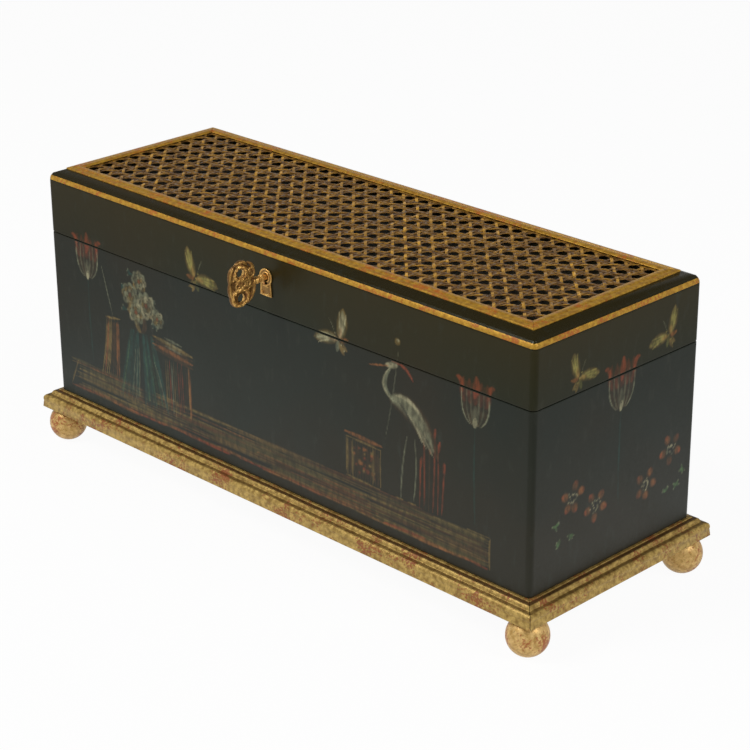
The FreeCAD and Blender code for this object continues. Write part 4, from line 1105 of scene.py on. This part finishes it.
# %% Load the brush
class Picture:
    """All films of one side, with the colour and the cover of each of their points."""

    def __init__(self, side):
        self.films = films[side]
        places = []
        for film in self.films:
            flat = np.empty(3 * len(film.data.vertices), dtype=np.float32)
            film.data.vertices.foreach_get("co", flat)
            places.append(flat.reshape(-1, 3))
        x, y, z = np.concatenate(places).T / MM
        right = {"front": x, "right": y - MIDDLE / MM, "left": MIDDLE / MM - y}[side]
        self.spots = np.stack((right, z), axis=1)
        self.colour = np.zeros((len(z), 3))
        self.cover = np.zeros(len(z))

    def stroke(self, path, width, colour, load, point=0.5):
        """A soft stroke along a curve of three (right, up) points in mm. point 1 sharpens its ends."""
        start, bend, end = (np.array(spot, dtype=float) for spot in path)
        low = np.min((start, bend, end), axis=0) - width / 2
        high = np.max((start, bend, end), axis=0) + width / 2
        near = np.flatnonzero(((self.spots > low) & (self.spots < high)).all(axis=1))
        length = np.linalg.norm(bend - start) + np.linalg.norm(end - bend)
        share = np.linspace(0.02, 0.98, int(8 + 3 * length / width))[:, None]
        curve = (1 - share) ** 2 * start + 2 * share * (1 - share) * bend + share ** 2 * end
        half = width / 2 * (4 * share * (1 - share)).T ** point
        gap = np.linalg.norm(self.spots[near][:, None] - curve, axis=2)
        depth = (1 - gap / half).max(axis=1)
        new = load * np.clip(2 * depth, 0, 1)
        old = self.cover[near] * (1 - new)
        self.cover[near] = new + old
        mixed = new[:, None] * np.array(colour) + old[:, None] * self.colour[near]
        self.colour[near] = mixed / np.maximum(new + old, 1e-6)[:, None]

    def line(self, start, end, width, colour, load, sag=0.0):
        middle = ((start[0] + end[0]) / 2 + sag, (start[1] + end[1]) / 2)
        self.stroke((start, middle, end), width, colour, load)

    def dab(self, x, z, size, colour, load):
        self.line((x, z - 0.05 * size), (x, z + 0.05 * size), size, colour, load)

    def dry(self):
        """Write the paint into the films."""
        paint = np.column_stack((self.colour, self.cover)).astype(np.float32)
        for film in self.films:
            count = len(film.data.vertices)
            layer = film.data.attributes.new("paint", "FLOAT_COLOR", "POINT")
            layer.data.foreach_set("color", paint[:count].ravel())
            paint = paint[count:]
        print(f"{len(self.cover)} points, {np.mean(self.cover > 0.05):.0%} of them painted")


CREAM = (0.42, 0.38, 0.22)
SAGE = (0.24, 0.25, 0.15)
STRAW = (0.33, 0.285, 0.075)
MOSS = (0.17, 0.165, 0.045)
RUST = (0.27, 0.05, 0.016)
ORANGE = (0.32, 0.115, 0.03)
OCHRE = (0.27, 0.175, 0.05)
BROWN = (0.075, 0.036, 0.013)
OLIVE = (0.09, 0.07, 0.022)
TEAL = (0.012, 0.046, 0.034)
GREEN = (0.075, 0.15, 0.05)
INK = (0.006, 0.006, 0.005)


def dip(colours, low, high):
    """One of the colours, and a load of the brush between two limits."""
    return rng.choice(colours), rng.uniform(low, high)


print("brush: stroke, line and dab in twelve colours")

# %% [markdown]
# The strewn motifs are built as a decorator builds them, from the shadow up to the lights: a wash for
# the body, a blush of red, and thin pale lines last. No two blossoms are drawn the same, because the
# load of the brush changes from stroke to stroke.

# %% Draw the strewn motifs
def tulip(picture, x, foot, height, ground):
    """A bell-shaped tulip on a thin stem, with three curling tips."""
    def at(right, up):
        return x + right * height, foot + up * height

    def petal(lean, low, high, width, colour, load):
        path = (at(0.36 * lean * min(1, low + 0.3), low), at(0.44 * lean, low + 0.25 * (high - low)),
                at(0.34 * lean, high))
        picture.stroke(path, width, colour, load)

    picture.line((x, foot + 1), (x + 1, ground), 2, TEAL, 0.7, sag=-1.5)
    for lean in (-0.75, -0.25, 0.25, 0.75):
        petal(lean, 0.02, 0.88, 8, BROWN, 0.32)
    for lean in (-0.9, -0.45, 0, 0.45, 0.9):
        petal(lean, 0.45, 0.95, 6, RUST, 0.22)
    for lean, load in ((-1, 0.65), (-0.62, 0.32), (-0.3, 0.25), (0.26, 0.3), (0.6, 0.28), (1, 0.65)):
        petal(lean, 0.0, 0.8, 1.7, SAGE, load)
    for hand in (-1, 1):
        path = (at(0.34 * hand, 0.62), at(0.34 * hand, 0.95), at(0.5 * hand, 0.9))
        picture.stroke(path, 4.6, RUST, 0.55)
    tongue = ((x - 1, foot + 0.55 * height), (x + 2, foot + 0.8 * height),
              (x + 0.5, foot + 1.06 * height))
    picture.stroke(tongue, 7.5, RUST, 0.5, point=0.9)
    picture.line((x, foot - 1), at(0, 0.42), 5.5, SAGE, 0.3)
    picture.line((x - 0.5, foot - 1), (x + 0.5, foot + 0.16 * height), 4.6, CREAM, 0.65)
    picture.dab(*at(0, 0.13), 1.9, INK, 0.7)


def butterfly(picture, x, z, size, turn, hand, wash=MOSS, light=STRAW):
    """A butterfly with one wing up and one spread, turned by an angle. hand tells its spread side."""
    swing = Matrix.Rotation(math.radians(turn), 2)

    def at(right, up):
        return tuple(swing @ Vector((hand * right, up)) * size + Vector((x, z)))

    def wing(right, up, width, colour, load):
        bow = at(0.5 * right - 0.1 * up, 0.5 * up + 0.1 * right)
        picture.stroke((at(0, 0), bow, at(right, up)), width * size, colour, load, point=0.85)

    for right, up in ((-0.2, 1.0), (1.06, -0.16)):
        wing(right, up, 0.5, OCHRE, 0.45)
        wing(0.95 * right, 0.95 * up, 0.36, wash, 0.5)
        for spread in (-0.16, 0.0, 0.16):
            wing(0.92 * right + spread * up, 0.92 * up - spread * right, 0.09, light, 0.6)
        wing(0.4 * right, 0.4 * up, 0.18, ORANGE, 0.4)
    tails = ((-0.34, -0.3, OCHRE), (0.1, -0.42, wash), (-0.4, 0.08, ORANGE), (-0.2, -0.46, OCHRE))
    for right, up, colour in tails:
        wing(right, up, 0.2, colour, 0.5)
    picture.line(at(-0.16, -0.2), at(0.2, 0.24), 0.13 * size, INK, 0.8)
    for step in range(4):
        picture.dab(*at(-0.2 + 0.12 * step, -0.3 + 0.16 * step), 1.6, light, 0.7)
    picture.line(at(0.18, 0.22), at(0.42, 0.62), 1.1, SAGE, 0.4, sag=-hand)


def blossom(picture, x, z, size):
    """Five dabbed petals around a dark heart with pale specks."""
    start = rng.uniform(0, 72)
    for petal in range(5):
        angle = math.radians(start + 72 * petal + rng.uniform(-12, 12))
        out = Vector((math.cos(angle), math.sin(angle))) * size
        for reach, width, colour in ((0.6, 0.72, BROWN), (0.76, 0.66, ORANGE), (0.92, 0.4, RUST)):
            spot = Vector((x, z)) + reach * out
            picture.dab(*spot, width * size, colour, rng.uniform(0.15, 0.6))
    picture.dab(x, z, size, INK, 0.6)
    for speck in range(13):
        angle = math.radians(137.5 * speck)
        reach = rng.uniform(0.15, 0.5) * size
        spot = Vector((x, z)) + reach * Vector((math.cos(angle), math.sin(angle)))
        picture.dab(*spot, 2.1, *dip((CREAM, CREAM, SAGE), 0.35, 0.8))


def leaves(picture, x, z, count, colour=GREEN):
    for _ in range(count):
        angle = rng.uniform(0, 2 * math.pi)
        tip = Vector((x + 3.5 * math.cos(angle), z + 3.5 * math.sin(angle)))
        picture.line((x, z), tuple(tip), 2.8, colour, rng.uniform(0.35, 0.75))
        picture.dab(*tip, 1.9, SAGE, 0.45)


print("motifs: tulip, butterfly, blossom, leaves")

# %% [markdown]
# Both ends carry the same design: a tulip whose tips reach over onto the lid, two butterflies on the
# lid, and four blossoms with leaves low down. Each film gets its own points of the stroke, so a stroke
# across the seam parts cleanly when the lid opens.

# %% Paint the ends
for side in ("right", "left"):
    end = Picture(side)
    tulip(end, 3, 146, height=35, ground=76)
    butterfly(end, -40, 180, size=19, turn=4, hand=1)
    butterfly(end, 50, 183, size=20, turn=-2, hand=-1)
    for x, z in ((-42, 99), (-19, 85), (32, 83), (57, 100)):
        blossom(end, x, z, size=11)
    for x, z in ((-58, 84), (-43, 73), (-54, 70), (54, 70), (65, 71), (71, 81)):
        leaves(end, x, z, count=4)
    end.dry()

# %% [markdown]
# The front has a floor of long planks from end to end, brown with a rust edge, and a tulip and a
# butterfly left and right. The planks are many long dry strokes, so the lacquer shows between them.

# %% Paint the planks
FLOOR_LEFT, FLOOR_RIGHT = -226.0, 206.0
front = Picture("front")
for z in np.arange(50.0, 73.5, 1.5):
    x = FLOOR_LEFT + rng.uniform(0, 12)
    while x < FLOOR_RIGHT - 15:
        reach = min(rng.uniform(25, 110), FLOOR_RIGHT - x)
        ends = ((x, z + rng.uniform(-0.4, 0.4)), (x + reach, z + rng.uniform(-0.4, 0.4)))
        front.line(*ends, rng.uniform(1.8, 3.4), *dip((BROWN, OLIVE, OLIVE, INK), 0.3, 0.7))
        if rng.random() < 0.6:
            front.line(*ends, 1.6, *dip((OCHRE, OCHRE, ORANGE), 0.12, 0.4))
        x += 0.75 * reach
for step in range(18):
    x = FLOOR_LEFT + 24 * step
    ends = ((x, rng.uniform(49, 52)), (min(x + 40, FLOOR_RIGHT), rng.uniform(49, 52)))
    front.line(*ends, rng.uniform(2.4, 3.8), *dip((RUST, ORANGE), 0.2, 0.55))
front.line((FLOOR_RIGHT, 49), (FLOOR_RIGHT, 73), 2.2, OCHRE, 0.5)
front.line((FLOOR_LEFT, 50), (FLOOR_LEFT + 10, 72), 2.2, OCHRE, 0.4)
tulip(front, -198, 143.5, height=34, ground=74)
tulip(front, 192, 146, height=33, ground=76)
butterfly(front, -75, 175, size=23, turn=6, hand=1)
butterfly(front, 70, 170, size=23, turn=2, hand=-1, wash=SAGE, light=CREAM)
print("front: planks, tulips and butterflies")

# %% [markdown]
# Left on the front a bunch of peonies stands on a table under a long teal cloth, between a stool and
# a desk. Painters set such groups down in a fixed order: the dark cloth, then furniture, then foliage
# and the pale flowers on top.

# %% Paint the peonies
for _ in range(34):
    waist = rng.uniform(-150, -126)
    hem = -138 + 2.3 * (waist + 138) + rng.uniform(-3, 3)
    front.stroke(((waist, 117), (0.6 * waist + 0.4 * hem, 96), (hem, rng.uniform(56, 62))),
                 rng.uniform(3, 6), *dip((TEAL, TEAL, INK), 0.4, 0.75))
for fold in range(14):
    x = -164 + 4 * fold
    front.stroke(((0.5 * x - 69, rng.uniform(96, 112)), (0.75 * x - 34, 84), (x, 60)), 1.6,
                 *dip((GREEN, SAGE, TEAL), 0.15, 0.4))
for strip in range(9):
    x = -178 + 1.7 * strip
    front.stroke(((x, 119), (x - 1, 96), (1.5 * x + 80, 70)), 2.6,
                 *dip((OCHRE, ORANGE, BROWN), 0.35, 0.65))
front.line((-180, 118), (-162, 120), 2.4, OCHRE, 0.5)
front.line((-182, 160), (-170, 118), 1.6, SAGE, 0.45)
for z, colour in ((115, OCHRE), (112, BROWN), (109, ORANGE), (106, BROWN)):
    front.line((-126, z + 3), (-80, z - 2), 4.5, colour, 0.5)
for post in range(13):
    x = -112 + 2.3 * post
    front.line((x, 105), (x + 1, rng.uniform(58, 66)), 1.8, *dip((OCHRE, RUST, BROWN, SAGE), 0.2, 0.5))
front.line((-86, 106), (-85, 62), 3.2, ORANGE, 0.5)
for z in (114, 117, 120):
    front.line((-112, z), (-92, z - 2), 2.6, SAGE, 0.4)
front.stroke(((-138, 116), (-146, 122), (-140, 130)), 6, OCHRE, 0.45)
front.stroke(((-138, 116), (-130, 122), (-136, 130)), 6, BROWN, 0.6)
for x, z in ((-156, 130), (-124, 144), (-158, 146), (-122, 126), (-148, 160)):
    leaves(front, x, z, count=5, colour=TEAL)
for x, z, size in ((-138, 156, 8), (-149, 143, 9), (-131, 139, 10), (-143, 131, 9), (-119, 132, 7)):
    front.dab(x, z, 2.2 * size, OLIVE, 0.45)
    for ring, petals in ((0.95, 8), (0.66, 7), (0.38, 5)):
        for petal in range(petals):
            middle = 2 * math.pi * (petal + ring) / petals
            arc = [(x + reach * ring * size * math.cos(middle + swing),
                    z + reach * ring * size * math.sin(middle + swing))
                   for reach, swing in ((0.8, -0.45), (1.3, 0.0), (0.8, 0.45))]
            front.stroke(arc, 0.36 * size, *dip((CREAM, SAGE, SAGE, OCHRE), 0.25, 0.6))
    front.dab(x, z, 0.5 * size, RUST, 0.4)
print("front: peonies between a stool and a desk")

# %% [markdown]
# Right on the front a heron stands between a little chest and tall reeds, beside a bud on a long stem.
# Its body is a pale wash over brown with light and dark quills. The light along its back, the neck and
# the head come after them.

# %% Paint the heron
for slat in range(13):
    x = 77 + 2.4 * slat
    front.line((x, 74), (x, 103), 3, *dip((BROWN, BROWN, OCHRE), 0.2, 0.45))
CHEST_EDGES = (
    ((76, 75), (76, 104)), ((108, 74), (108, 103)), ((75, 74), (109, 73)), ((75, 103), (109, 102)),
)
for start, end in CHEST_EDGES:
    front.line(start, end, 2, OCHRE, 0.5)
front.line((73, 106), (111, 105), 4, ORANGE, 0.5)
for _ in range(30):
    front.dab(rng.uniform(82, 103), rng.uniform(79, 98), rng.uniform(2, 4.5),
              *dip((RUST, OCHRE, INK, ORANGE), 0.3, 0.6))
for x, tip in ((144, 110), (148, 132), (152, 122), (156, 134), (160, 126), (164, 112)):
    stalk = ((x, 71), (x + 1, 100), (x + rng.uniform(-2, 5), tip))
    front.stroke(stalk, 2, rng.choice((OCHRE, RUST, BROWN)), 0.55)
    front.line((x + 1, tip - 8), (x + 2, tip), 3, RUST, rng.uniform(0.2, 0.6))
for foot, knee, hip in (((127, 73), (127, 96), (133, 122)), ((138, 73), (143, 98), (139, 122))):
    front.stroke((foot, knee, hip), 2, SAGE, 0.5)
    front.line((foot[0] - 5, foot[1]), (foot[0] + 3, foot[1]), 1.6, OCHRE, 0.5)
front.stroke(((118, 141), (138, 148), (160, 113)), 19, BROWN, 0.6)
front.stroke(((118, 142), (137, 148), (156, 116)), 15, SAGE, 0.6)
for quill in range(9):
    x = 124 + 3 * quill
    front.stroke(((x, 143 - 2.2 * quill), (x + 8, 138 - 2.6 * quill), (x + 14, 124 - 2 * quill)), 2,
                 *dip((CREAM, CREAM, INK), 0.3, 0.6))
front.stroke(((122, 146), (136, 150), (148, 134)), 4, CREAM, 0.6)
front.stroke(((123, 141), (104, 148), (118, 164)), 5, SAGE, 0.6)
front.stroke(((121, 141), (103, 149), (117, 164)), 2.4, CREAM, 0.6)
front.line((113, 165), (124, 167), 5.5, CREAM, 0.6)
front.line((116, 165), (98, 161), 2, ORANGE, 0.6)
front.dab(118, 166.5, 1.6, INK, 0.8)
front.stroke(((118, 169), (130, 172), (138, 160)), 3.4, RUST, 0.75)
front.line((112, 110), (125, 180), 1.3, SAGE, 0.35, sag=2)
front.dab(124, 184, 6, OCHRE, 0.55)
front.dab(124.5, 185, 3, CREAM, 0.7)
front.dry()

# %% [markdown]
# ## Boards, hinges and lock
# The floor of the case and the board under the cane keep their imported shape, and so do the hinges, the
# lock and the screws, which show only from behind or under the open lid. They need no new mesh, only
# the right finish in their slots.

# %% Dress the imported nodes
def dress(finish, *names):
    for name in names:
        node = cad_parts[name]
        node.data.materials.clear()
        node.data.materials.append(finish)
    print(f"{finish.name} on {len(names)} nodes")


dress(inside_lacquer, "bottom_board", "lid_board")
for hand in ("left", "right"):
    dress(brass, f"hinge_{hand}_case_leaf", f"hinge_{hand}_lid_leaf", f"hinge_{hand}_pin")
dress(brass, "hinge_case_screws", "hinge_lid_screws", "lock_link", "lock_link_screws", "lock_plate",
      "lock_cap", "lock_screws", "lock_barrel")
dress(steel, "lock_bolt")
dress(key_cast, "escutcheon_pins")
